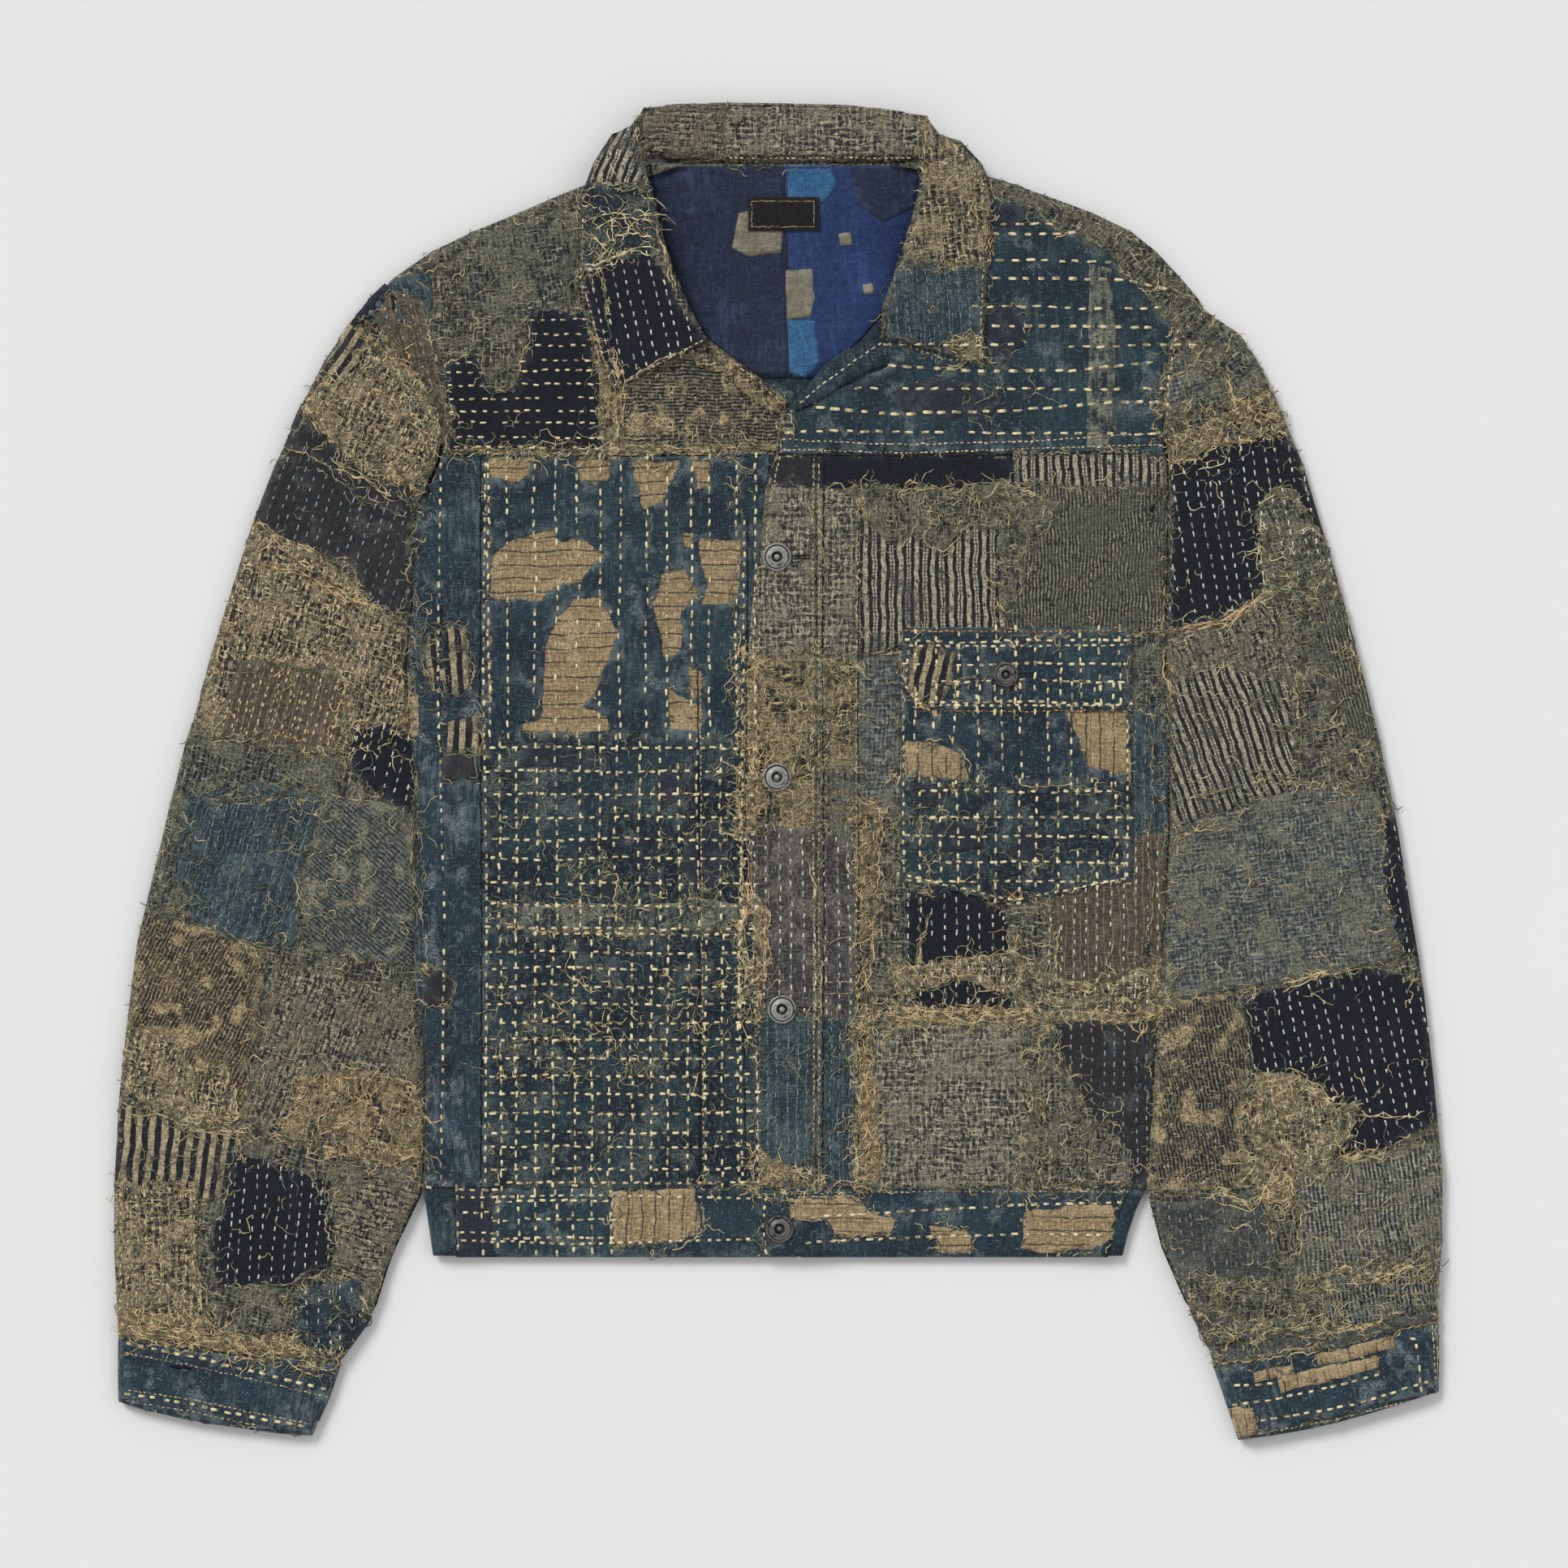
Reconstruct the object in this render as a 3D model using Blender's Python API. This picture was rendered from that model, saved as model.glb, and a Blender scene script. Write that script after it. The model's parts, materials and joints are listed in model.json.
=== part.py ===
"""A patched denim-style work jacket, laid flat on its back with the collar up at +Y and the front facing +Z.

Tables are in millimetres, in the plane of the floor: +X is the wearer's left, +Y runs from hem to collar.
Each cloth piece is one closed wall, built from rows or rings of points that its tables and heights give.
"""

import math

import bmesh
import bpy
import numpy as np

MM = 0.001

# Thicknesses and heights, in millimetres
WALL = 2.6            # patched body cloth
SLEEVE_WALL = 2.4
COLLAR_WALL = 3.0
TRIM = 2.0            # pocket, flap and neck bands
LINING_WALL = 1.4
LABEL_WALL = 1.0
SEAM = 0.3            # clear space at a seam
SIDE_SEAM = 0.5       # the same where a front meets the back's wrap
LAY = 0.5             # clear space under a piece that lies on another
COLLAR_LAY = 0.8      # the same under the collar's leaves
EDGE_HEIGHT = 9.0     # height of the roll along the body's sides and shoulders
FRONT_REST = WALL + 0.7    # underside of a front where it lies on the back
NECK_LIFT = 3.9       # the back yoke climbs over the collar's fall at the nape
NAPE_RISE = (300.0, 338.0)    # y between which it climbs
NAPE_SPAN = (85.0, 170.0)     # distance from the nape's middle over which the climb dies out
NAPE_MIDDLE = 3.0
PLACKET_LIFT = WALL + LAY  # one layer more, where the left front laps over the right
LAP_GAP = 0.4         # air left under the lapping front
LAP_DESCENT = (3.0, 40.0)     # distances beyond the underlap's edge between which the left front comes down
LAP_END = (216.0, 240.0)      # y between which the lap dies out at the neck
# How a front comes down beside a roll: the distance over which it stays up, and over which it falls
RIGHT_ROLL = (12.0, 22.0)
LEFT_ROLL = (9.0, 22.0)
SHOULDER_ROLL = (14.0, 20.0)
SHOULDER_FROM = 150.0
SHOULDER_ROWS = 10    # rows of the body's outline that are shoulder
RIPPLE = 0.5          # slow waves all over the fronts, and their lengths along x and y
RIPPLE_X, RIPPLE_Y = 31.0, 47.0

# Outline of the body, one row for each height: y, wearer's right edge, wearer's left edge,
# and how far the back wraps forward over each edge
BODY = (
    # y, right edge, left edge, right wrap, left wrap
    (359, -74, 82, 20, 20),
    (353, -92, 113, 22, 22),
    (347, -112, 136, 24, 24),
    (340, -130, 158, 24, 24),
    (330, -153, 185, 22, 28),
    (319, -180, 208, 20, 28),
    (307, -205, 223, 17, 26),
    (293, -225, 236, 13, 22),
    (279, -240, 248, 11, 17),
    (265, -251, 255, 0, 0),
    (254, -234.6, 239, 0, 0),
    (243, -220.2, 231, 0, 0),
    (233, -210, 227.4, 0, 0),
    (220, -201.2, 225.8, 0, 0),
    (207, -197, 226.2, 0, 0),
    (195, -197, 227.8, 0, 0),
    (181, -200.6, 229.2, 0, 0),
    (168, -207, 229.5, 0, 0),
    (156, -214, 229.5, 16, 9),
    (120, -216, 229, 17, 9),
    (91, -216, 229, 17, 9),
    (60, -220, 228, 20, 9),
    (5, -215, 231, 16, 9),
    (-38, -213, 231, 15, 9),
    (-74, -215, 229, 17, 9),
    (-120, -215, 226, 18, 9),
    (-168, -208, 222, 13, 9),
    (-216, -208, 219, 15, 9),
    (-246, -210, 217, 18, 9),
    (-266, -207, 208, 16, 9),
    (-287, -204, 203, 14, 9),
)
NAPE = 358.6
YOKE_SEAM = 187.0       # front yokes end here, fronts start
BACK_YOKE_SEAM = 262.0
WAIST_SEAM = -246.0
HEM = -286.0
# Heights of the rows of points that the front and back panels share
YOKE_ROWS = (347, 340, 330, 319, 307, 293, 279, 268, 254, 243, 233, 220, 207, 195, YOKE_SEAM + SEAM / 2)
FRONT_ROWS = (YOKE_SEAM - SEAM / 2, 181, 168, 156, 130, 95, 60, 33, 5, -38, -74, -120, -168, -216,
              WAIST_SEAM + SEAM / 2)
BAND_ROWS = (WAIST_SEAM - SEAM / 2, -260, -273, HEM)

# Neckline of each front, from the shoulder down to the crossing
NECK_RIGHT = ((349, -81), (331, -76), (312, -71), (293, -64), (274, -56), (259, -47), (245, -28), (231, -9),
              (218, 7))
NECK_LEFT = ((349, 94), (331, 86), (312, 80), (293, 72), (274, 64), (259, 55), (249, 41), (240, 29),
             (229, 20), (219, 9))
UNDERLAP_EDGE = ((218, 7), (207, 14), (195, 18), (60, 2), (-60, 0), (-246, 8), (-286, 12))

# Front edge of the left front and its placket: y, x
FRONT_EDGE = ((219, 9), (211, 0), (187, -2), (168, -7), (130, -10), (91, -16), (24, -20), (-43, -19),
              (-86, -14), (-139, -12), (-246, -11), (-287, -7))
PLACKET_INNER = 22.0    # seam between the placket and the left front
PANEL_SEAM = -172.5     # seam between the right side panel and the right front

FOLD_START, FOLD_END = (-0.05, 0.12), (0.9, 1.05)   # shares of its length over which a fold comes and goes
# Pleats and largest folds: top x, y, bottom x, y, half width, height
FOLDS = (
    (-46, 60, -44, -246, 3.5, 2.4),
    (-20, 150, -22, -246, 4.0, 2.6),
    (26, 180, 25, -246, 3.0, 1.8),
    (46, 180, 44, -246, 4.0, 2.4),
    (-120, -80, -60, -95, 6.0, 1.2),
    (-185, 60, -178, -30, 5.0, 1.6),
    (120, -150, 190, -160, 7.0, 1.4),
    (-150, 230, -120, 200, 7.0, 1.6),
    (150, 235, 190, 205, 7.0, 1.6),
)

# Sleeves: outer edge x, y, inner edge x, y, how far the ring bows, height, crest height
SLEEVE_RIGHT = (
    (-252.5, 265, -215.3, 158, 32, 9.0, 0.6),
    (-268, 243, -216.8, 147, 20, 9.0, 1.0),
    (-282, 216, -217.2, 125, 11, 8.8, 1.4),
    (-295, 185, -217.4, 97, 5, 8.6, 0.8),
    (-309, 149, -222.0, 66, 0, 8.6, 1.4),
    (-334, 70, -217.5, 8, 0, 8.8, 1.2),
    (-347.5, 24, -215.5, -18, 0, 9.0, 0.8),
    (-358, -17, -214.3, -47, 0, 9.0, 1.8),
    (-378, -101, -216.3, -119, 0, 8.6, 1.2),
    (-384, -149, -210.5, -162, 0, 8.6, 1.6),
    (-389, -197, -209.3, -208, 0, 9.0, 0.6),
    (-391.5, -245, -212, -250, 0, 9.4, 2.2),
    (-391.5, -283, -229, -285, -2, 9.8, 1.0),
    (-390, -313, -241, -323, -3, 10.0, 2.4),
    (-389, -334, -258, -346, -3, 10.0, 1.0),
)
SLEEVE_LEFT = (
    (259, 266, 230.4, 187, -17, 9.0, 0.6),
    (274, 256, 230.6, 163, -14, 9.0, 1.2),
    (287, 233, 230.6, 139, -9, 8.8, 0.8),
    (298, 207, 230.3, 118, -4, 8.6, 1.6),
    (309, 180, 229.5, 94, 0, 8.6, 0.8),
    (332, 103, 229.6, 34, 0, 8.8, 0.6),
    (342, 65, 231.5, 3, 0, 9.0, 1.4),
    (353, 22, 231.5, -33, 0, 9.0, 0.8),
    (363, -24, 229.8, -69, 0, 8.8, 1.6),
    (380, -129, 223.4, -158, 0, 8.6, 1.2),
    (386, -182, 220.4, -204, 0, 9.0, 1.8),
    (391, -235, 218, -246, 0, 9.4, 0.8),
    (391, -278, 227, -281, 2, 9.8, 2.2),
    (388.5, -304, 240, -311, 3, 10.0, 1.0),
    (388, -317, 253, -338, 3, 10.0, 1.6),
)
BOW_LEAN = 0.3        # the bow is fuller at the underarm on one side, at the shoulder on the other
TOP_SAG = 0.8         # the upper wall of a flat sleeve sinks this much in its middle
CREST_GAIN, CREST_WAVES = 1.1, 5.0    # height and number of the waves across it
CUFF_HEIGHT = 10.0
# Cuffs: outer edge x, y, inner edge x, y, bow
CUFF_RIGHT = (
    (-389.1, -334.5, -258.2, -346.5, -3),
    (-389.4, -354, -266, -370, -3.5),
    (-389, -371.5, -276, -391.5, -4),
)
CUFF_LEFT = (
    (388.1, -317.5, 253.2, -338.5, 3),
    (389.2, -343, 263, -367, 3.5),
    (389, -366, 272, -394, 4),
)

# Collar, from the right tip round the nape to the left tip.
# seam x, y, height above the cloth; fold x, y, height; outer edge x, y; 1 where the edge lies on the fronts
COLLAR = (
    (-47, 250, 4.5, -43.5, 254, 13, -98, 225, 1),
    (-58, 268, 5.0, -53, 272, 16, -107, 252, 1),
    (-69, 291, 5.5, -63, 295, 19, -114, 279, 1),
    (-76, 313, 6.0, -70, 317, 21, -117, 307, 1),
    (-82, 335, 6.5, -76, 341, 23, -117, 336, 1),
    (-83, 354, 6.0, -81, 361, 24, -109, 358, 1),
    (-78, 361.5, 3.0, -84, 380, 22, -98, 375, 0),
    (-70, 362, 2.2, -79, 391, 18, -78, 370, 0),
    (-52, 362, 2.2, -58, 392.5, 14, -55, 352, 0),
    (-28, 362, 2.2, -30, 393.5, 12, -28, 350, 0),
    (3, 362, 2.2, 3, 393, 12, 3, 350, 0),
    (38, 362, 2.2, 41, 392, 12, 38, 350, 0),
    (60, 362, 2.2, 66, 389, 14, 60, 352, 0),
    (78, 362, 2.2, 87, 386, 18, 86, 366, 0),
    (86, 361.5, 3.0, 90, 376, 22, 107, 371, 0),
    (90, 354, 6.0, 86.5, 360, 24, 120, 357, 1),
    (90, 333, 6.5, 83, 338, 23, 125, 338, 1),
    (83, 310, 6.0, 76.5, 315, 21, 124, 314, 1),
    (75, 288, 5.5, 69, 292, 18, 122, 290, 1),
    (67, 269, 5.0, 62.5, 274, 15, 121.5, 265, 1),
    (61, 253, 4.5, 60, 258, 12, 121, 240.5, 1),
)

ROLL_TURN = 2.2       # how far the band's middle stands off the fold's crest
FALL_SHARES = (0.22, 0.45, 0.7, 1.0)
LEAF_CURVE, NAPE_CURVE = 1.7, 2.6     # how steeply the fall drops, over the fronts and at the nape
NAPE_FLOOR = 0.1      # the fall's edge at the nape rests on the floor

# Neck bands: upper edge x, y, lower edge x, y
BAND_RIGHT = ((-45, 247, -52, 240), (-27, 244, -34, 235), (-10, 230, -17, 221), (6, 219, -2, 209))
BAND_LEFT = ((61, 247, 63, 240), (41, 250, 50, 236), (27, 240, 36, 227), (18, 229, 22, 218),
             (10, 220, 9, 213))

# Chest pocket and flap: y, left side, right side, of the outline as it is sewn down
POCKET = ((70, 72, 208), (60, 72, 208), (33, 72, 208), (5, 72.5, 208), (-38, 72.5, 208), (-62, 73, 208))
POCKET_POINT = (138, -78)
POCKET_HEM = 1.5      # below the last row at the pocket's two lower corners
FLAP = ((84, 75, 208), (78, 74, 208), (71, 73.5, 208), (49, 73, 207), (36, 83, 206.5))

# Lining inside the neck: its centre seam as y, x, and its clear space beside the fronts
LINING_SEAM = ((360, 3), (225, 8))
LINING_INSET = 0.9
LINING_TOP = NAPE - 1.5
NAPE_EDGES = (-73, 81)
LABEL = (-18, 24, 319, 339)   # low x, high x, low y, high y

BUTTONS = (
    # name, x, y, diameter
    ("button_1", -1, 126.5, 17.0),
    ("button_2", -1, -3.5, 17.0),
    ("button_3", 2, -140.5, 17.0),
    ("button_waist", 0.5, -270, 16.5),
    ("button_flap", 134, 57, 14.5),
)
# Turned profile of a tack button, as shares of its radius and millimetres of height
BUTTON_PROFILE = ((0.0, 0.0), (0.86, 0.0), (1.0, 0.9), (0.93, 2.1), (0.72, 2.7), (0.5, 2.1), (0.38, 1.2),
                  (0.0, 1.2))
BUTTON_SIDES = 12
BUTTON_CONTACT = 0.9  # share of its radius out to which a button bears on the cloth

COLOURS = {
    # name: red, green, blue, roughness, metallic
    "indigo": (0.028, 0.055, 0.085, 0.95, 0.0),
    "navy": (0.012, 0.018, 0.036, 0.95, 0.0),
    "gauze": (0.115, 0.118, 0.092, 0.98, 0.0),
    "olive": (0.13, 0.11, 0.075, 0.98, 0.0),
    "grey": (0.11, 0.12, 0.12, 0.98, 0.0),
    "purple": (0.035, 0.042, 0.11, 0.8, 0.0),
    "ultramarine": (0.025, 0.06, 0.22, 0.8, 0.0),
    "black": (0.01, 0.01, 0.01, 0.7, 0.0),
    "nickel": (0.30, 0.30, 0.29, 0.42, 1.0),
    "old_brass": (0.13, 0.11, 0.08, 0.5, 1.0),
}


def clear_scene():
    for found in list(bpy.data.objects):
        bpy.data.objects.remove(found)


def along(table, y, column=1):
    """A value at height y, read from a table whose first column is y, top row first."""
    rows = table[::-1]
    return float(np.interp(y, [row[0] for row in rows], [row[column] for row in rows]))


def smooth(value, start, end):
    """0 before start, 1 after end, with a soft turn between."""
    share = min(max((value - start) / (end - start), 0.0), 1.0)
    return share * share * (3.0 - 2.0 * share)


def nape_lift(x, y):
    """How far the neck end of the body is lifted, by the collar's fall below it."""
    return NECK_LIFT * smooth(y, *NAPE_RISE) * (1.0 - smooth(abs(x - NAPE_MIDDLE), *NAPE_SPAN))


def fold_height(x, y):
    """Height that the folds add at one point."""
    total = 0.0
    for x0, y0, x1, y1, half, high in FOLDS:
        run = np.array((x1 - x0, y1 - y0), float)
        share = float(np.dot((x - x0, y - y0), run) / np.dot(run, run))
        ends = smooth(share, *FOLD_START) * (1.0 - smooth(share, *FOLD_END))
        nearest = np.array((x0, y0)) + run * share
        away = math.hypot(x - nearest[0], y - nearest[1])
        if ends > 0.0:
            total += high * ends * math.exp(-(away / half) ** 2)
    return total


def beside_roll(distance, roll):
    """1 beside a roll, down to 0 away from it."""
    flat, fall = roll
    return math.exp(-(max(distance - flat, 0.0) / fall) ** 2)


def front_rise(x, y):
    """How far a front is lifted off the back at one point: at the side rolls, the shoulders and the folds."""
    right = along(BODY, y, 1)
    left = along(BODY, y, 2)
    side = EDGE_HEIGHT - FRONT_REST - WALL
    edge = side * (beside_roll(x - right, RIGHT_ROLL) + beside_roll(left - x, LEFT_ROLL))
    if y > SHOULDER_FROM:
        corners = [(row[column], row[0]) for row in BODY[:SHOULDER_ROWS] for column in (1, 2)]
        nearest = min(math.hypot(x - corner_x, y - corner_y) for corner_x, corner_y in corners)
        edge = max(edge, side * beside_roll(nearest, SHOULDER_ROLL))
    ripple = RIPPLE * math.sin(x / RIPPLE_X + y / RIPPLE_Y) ** 2
    return min(edge, side) + fold_height(x, y) + ripple


def lap_lift(x, y):
    """The left front climbs over the right one's underlap, and comes down beyond it."""
    beside = 1.0 - smooth(x - along(UNDERLAP_EDGE, y), *LAP_DESCENT)
    return (PLACKET_LIFT * beside + LAP_GAP) * (1.0 - smooth(y, *LAP_END))


def right_under(x, y):
    """Underside of the right front's cloth."""
    return FRONT_REST + nape_lift(x, y) + front_rise(x, y)


def left_under(x, y):
    """Underside of the left front's cloth."""
    return right_under(x, y) + lap_lift(x, y)


def front_top(x, y):
    """Top of whichever front shows at this point."""
    edge = along(NECK_LEFT, y) - 12.0 if y > 219.0 else along(FRONT_EDGE, y)
    return (left_under(x, y) if x >= max(edge, -20.0) else right_under(x, y)) + WALL


def material(name):
    red, green, blue, roughness, metallic = COLOURS[name]
    made = bpy.data.materials.new(name)
    made.use_nodes = True
    shader = made.node_tree.nodes["Principled BSDF"]
    shader.inputs["Base Color"].default_value = (red, green, blue, 1.0)
    shader.inputs["Roughness"].default_value = roughness
    shader.inputs["Metallic"].default_value = metallic
    made.diffuse_color = (red, green, blue, 1.0)
    return made


PENDING = []   # name, points in millimetres, faces, colour


def add_piece(name, points, faces, colour):
    PENDING.append((name, np.array(points, float), faces, colour))


def wall(name, upper, lower, colour):
    """A sheet of cloth between two grids of points with the same rows and columns."""
    rows, columns = upper.shape[:2]
    count = rows * columns
    points = np.concatenate([upper.reshape(-1, 3), lower.reshape(-1, 3)])
    faces = []
    for r in range(rows - 1):
        for c in range(columns - 1):
            a, b = r * columns + c, r * columns + c + 1
            d, e = a + columns, b + columns
            faces.append((a, b, e, d))
            faces.append((count + a, count + d, count + e, count + b))
    rim = list(range(columns))
    rim += [r * columns + columns - 1 for r in range(1, rows)]
    rim += [(rows - 1) * columns + c for c in range(columns - 2, -1, -1)]
    rim += [r * columns for r in range(rows - 2, 0, -1)]
    for i, start in enumerate(rim):
        end = rim[(i + 1) % len(rim)]
        faces.append((start, count + start, count + end, end))
    add_piece(name, points, faces, colour)


def tube(name, outer, inner, colour):
    """A sleeve or band of cloth between rings of outer and inner points, open at both ends."""
    rings, sides = outer.shape[:2]
    count = rings * sides
    points = np.concatenate([outer.reshape(-1, 3), inner.reshape(-1, 3)])
    faces = []
    for r in range(rings - 1):
        for s in range(sides):
            a, b = r * sides + s, r * sides + (s + 1) % sides
            faces.append((a, b, b + sides, a + sides))
            faces.append((count + a, count + a + sides, count + b + sides, count + b))
    last = (rings - 1) * sides
    for s in range(sides):
        e = (s + 1) % sides
        faces.append((s, count + s, count + e, e))
        faces.append((last + s, last + e, count + last + e, count + last + s))
    add_piece(name, points, faces, colour)


def sheet_rows(heights, left_of, right_of, shares, under, thick):
    """Upper and lower grids of a flat piece: rows at these heights, columns at these shares of its width."""
    upper, lower = [], []
    for y in heights:
        x0, x1 = left_of(y), right_of(y)
        xs = [x0 + (x1 - x0) * share for share in shares]
        lower.append([(x, y, under(x, y)) for x in xs])
        upper.append([(x, y, under(x, y) + thick) for x in xs])
    return np.array(upper), np.array(lower)


def even(count):
    return [i / count for i in range(count + 1)]


def wrapped_row(y):
    """Outer and inner points of the back at one height, from its right seam round below to its left."""
    right, left = along(BODY, y, 1), along(BODY, y, 2)
    wraps = (along(BODY, y, 3), along(BODY, y, 4))
    half = EDGE_HEIGHT / 2.0
    inner_half = half - WALL

    def side(edge, sign, wrap):
        """Points from the forward seam to the start of the flat bottom, on one side; sign points inwards."""
        full = smooth(wrap, 0.0, 9.0)
        reach = max(wrap, half + 1.0)
        rolled = ((reach, 2 * half), (half, 2 * half), (0.3 * half, 1.7 * half),
                  (0.0, half), (0.3 * half, 0.3 * half), (half, 0.0))
        cut = ((0.0, 0.95 * WALL), (0.0, 0.8 * WALL), (0.0, 0.6 * WALL),
               (0.0, 0.4 * WALL), (0.0, 0.2 * WALL), (0.6, 0.0))
        rolled_in = ((reach, 2 * half - WALL), (half + 0.6, 2 * half - WALL),
                     (WALL + 0.4 * inner_half, half + 0.7 * inner_half), (WALL, half),
                     (WALL + 0.4 * inner_half, half - 0.7 * inner_half), (half + 0.6, WALL))
        cut_in = ((0.7, WALL), (1.4, WALL), (2.1, WALL), (2.8, WALL), (3.5, WALL), (4.2, WALL))
        outer = [(edge + sign * (u * full + x * (1 - full)), v * full + z * (1 - full))
                 for (u, v), (x, z) in zip(rolled, cut)]
        inner = [(edge + sign * (u * full + x * (1 - full)), v * full + z * (1 - full))
                 for (u, v), (x, z) in zip(rolled_in, cut_in)]
        return outer, inner

    right_outer, right_inner = side(right, 1.0, wraps[0])
    left_outer, left_inner = side(left, -1.0, wraps[1])
    shares = [i / 5.0 for i in range(1, 5)]
    start, end = right_outer[-1][0], left_outer[-1][0]
    flat_outer = [(start + (end - start) * s, 0.0) for s in shares]
    start, end = right_inner[-1][0], left_inner[-1][0]
    flat_inner = [(start + (end - start) * s, WALL) for s in shares]
    outer = right_outer + flat_outer + left_outer[::-1]
    inner = right_inner + flat_inner + left_inner[::-1]
    lift = [nape_lift(x, y) for x, _ in outer]
    return ([(x, y, z + up) for (x, z), up in zip(outer, lift)],
            [(x, y, z + up) for (x, z), up in zip(inner, lift)])


def back_piece(name, heights, colour):
    outer, inner = [], []
    for y in heights:
        outer_row, inner_row = wrapped_row(y)
        outer.append(outer_row)
        inner.append(inner_row)
    wall(name, np.array(outer), np.array(inner), colour)


def make_back():
    shoulder = [y for y in YOKE_ROWS if y > BACK_YOKE_SEAM]
    below = [y for y in YOKE_ROWS if y < BACK_YOKE_SEAM]
    back_piece("back_yoke", [NAPE, 353.0] + shoulder + [BACK_YOKE_SEAM + SEAM / 2], "olive")
    back_piece("back", [BACK_YOKE_SEAM - SEAM / 2] + below + list(FRONT_ROWS), "indigo")
    back_piece("waistband_back", BAND_ROWS, "navy")


def wrap_reach(wrap):
    """How far the back comes forward over an edge: past its own roll, but not at all at an armhole."""
    return smooth(wrap, 0.0, 9.0) * max(wrap, EDGE_HEIGHT / 2.0 + 1.0)


def side_seam(y, sign):
    """x where a front ends at its side: at the wrap of the back, or at the armhole's edge."""
    column = 1 if sign < 0 else 2
    edge, wrap = along(BODY, y, column), along(BODY, y, column + 2)
    return edge - sign * (wrap_reach(wrap) + SIDE_SEAM)


def make_fronts():
    """Both fronts, the side panel and the placket. Columns lie closest where the pleats are."""
    rows = FRONT_ROWS
    right_shares = (0.0, 0.2, 0.4, 0.56, 0.63, 0.68, 0.73, 0.78, 0.81, 0.85, 0.9, 1.0)
    upper, lower = sheet_rows(rows, lambda y: PANEL_SEAM + SEAM, lambda y: along(UNDERLAP_EDGE, y),
                              right_shares, right_under, WALL)
    wall("front_right", upper, lower, "indigo")
    upper, lower = sheet_rows(rows, lambda y: side_seam(y, -1.0), lambda y: PANEL_SEAM,
                              even(3), right_under, WALL)
    wall("side_panel_right", upper, lower, "indigo")
    left_shares = (0.0, 0.016, 0.045, 0.085, 0.11, 0.135, 0.18, 0.3, 0.45, 0.62, 0.77, 0.89, 1.0)
    upper, lower = sheet_rows(rows, lambda y: PLACKET_INNER + SEAM, lambda y: side_seam(y, 1.0),
                              left_shares, left_under, WALL)
    wall("front_left", upper, lower, "gauze")
    upper, lower = sheet_rows(rows, lambda y: along(FRONT_EDGE, y), lambda y: PLACKET_INNER,
                              even(3), left_under, WALL)
    wall("placket", upper, lower, "grey")


def make_yokes():
    rows = YOKE_ROWS
    neck_right = NECK_RIGHT + UNDERLAP_EDGE[1:]
    upper, lower = sheet_rows(rows, lambda y: side_seam(y, -1.0), lambda y: along(neck_right, y),
                              even(7), right_under, WALL)
    wall("yoke_right", upper, lower, "navy")
    neck_left = NECK_LEFT + FRONT_EDGE[1:]
    upper, lower = sheet_rows(rows, lambda y: along(neck_left, y), lambda y: side_seam(y, 1.0),
                              even(7), left_under, WALL)
    wall("yoke_left", upper, lower, "indigo")


def ring(outer_end, inner_end, bow, height, crest, thick):
    """Outer and inner rings of a flattened tube whose flat side lies on the floor."""
    start, end = np.array(outer_end, float), np.array(inner_end, float)
    span = end - start
    width = float(np.linalg.norm(span))
    side = np.array((-span[1], span[0])) / width
    r = height / 2.0
    hollow = r - thick

    def place(across, z):
        share = across / width
        lean = 1.0 + math.copysign(BOW_LEAN, bow) * (2.0 * share - 1.0)
        lateral = 4.0 * share * (1.0 - share) * bow * lean
        x, y = start + span * share + side * lateral
        return (x, y, z)

    def top(share):
        wave = math.sin(math.pi * share) * math.sin(CREST_WAVES * math.pi * share + crest)
        return height - TOP_SAG * math.sin(math.pi * share) + crest * wave * CREST_GAIN

    outer, inner = [], []
    shares = (0.16, 0.33, 0.5, 0.67, 0.84)
    turn = ((0.0, 1.0), (0.3, 0.3), (1.0, 0.0))
    for a, b in turn:
        outer.append(place(a * r, b * r))
        inner.append(place(thick + a * hollow, thick + b * hollow))
    for share in (0.33, 0.67):
        outer.append(place(share * width, 0.0))
        inner.append(place(share * width, thick))
    for a, b in turn[::-1]:
        outer.append(place(width - a * r, b * r))
        inner.append(place(width - thick - a * hollow, thick + b * hollow))
    for a, b in turn[1:]:
        outer.append(place(width - a * r, height - b * r))
        inner.append(place(width - thick - a * hollow, height - thick - b * hollow))
    for share in shares[::-1]:
        outer.append(place(share * width, top(share)))
        inner.append(place(share * width, top(share) - thick))
    for a, b in (turn[2], turn[1]):
        outer.append(place(a * r, height - b * r))
        inner.append(place(thick + a * hollow, height - thick - b * hollow))
    return outer, inner


def make_tube(name, table, colour, thick):
    outer, inner = [], []
    for x0, y0, x1, y1, bow, height, crest in table:
        ring_out, ring_in = ring((x0, y0), (x1, y1), bow, height, crest, thick)
        outer.append(ring_out)
        inner.append(ring_in)
    tube(name, np.array(outer), np.array(inner), colour)


def make_sleeves():
    make_tube("sleeve_right", SLEEVE_RIGHT, "olive", SLEEVE_WALL)
    make_tube("sleeve_left", SLEEVE_LEFT, "gauze", SLEEVE_WALL)
    for name, table in (("cuff_right", CUFF_RIGHT), ("cuff_left", CUFF_LEFT)):
        rows = [row + (CUFF_HEIGHT, 0.8) for row in table]
        make_tube(name, rows, "indigo", SLEEVE_WALL + 0.4)


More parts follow.
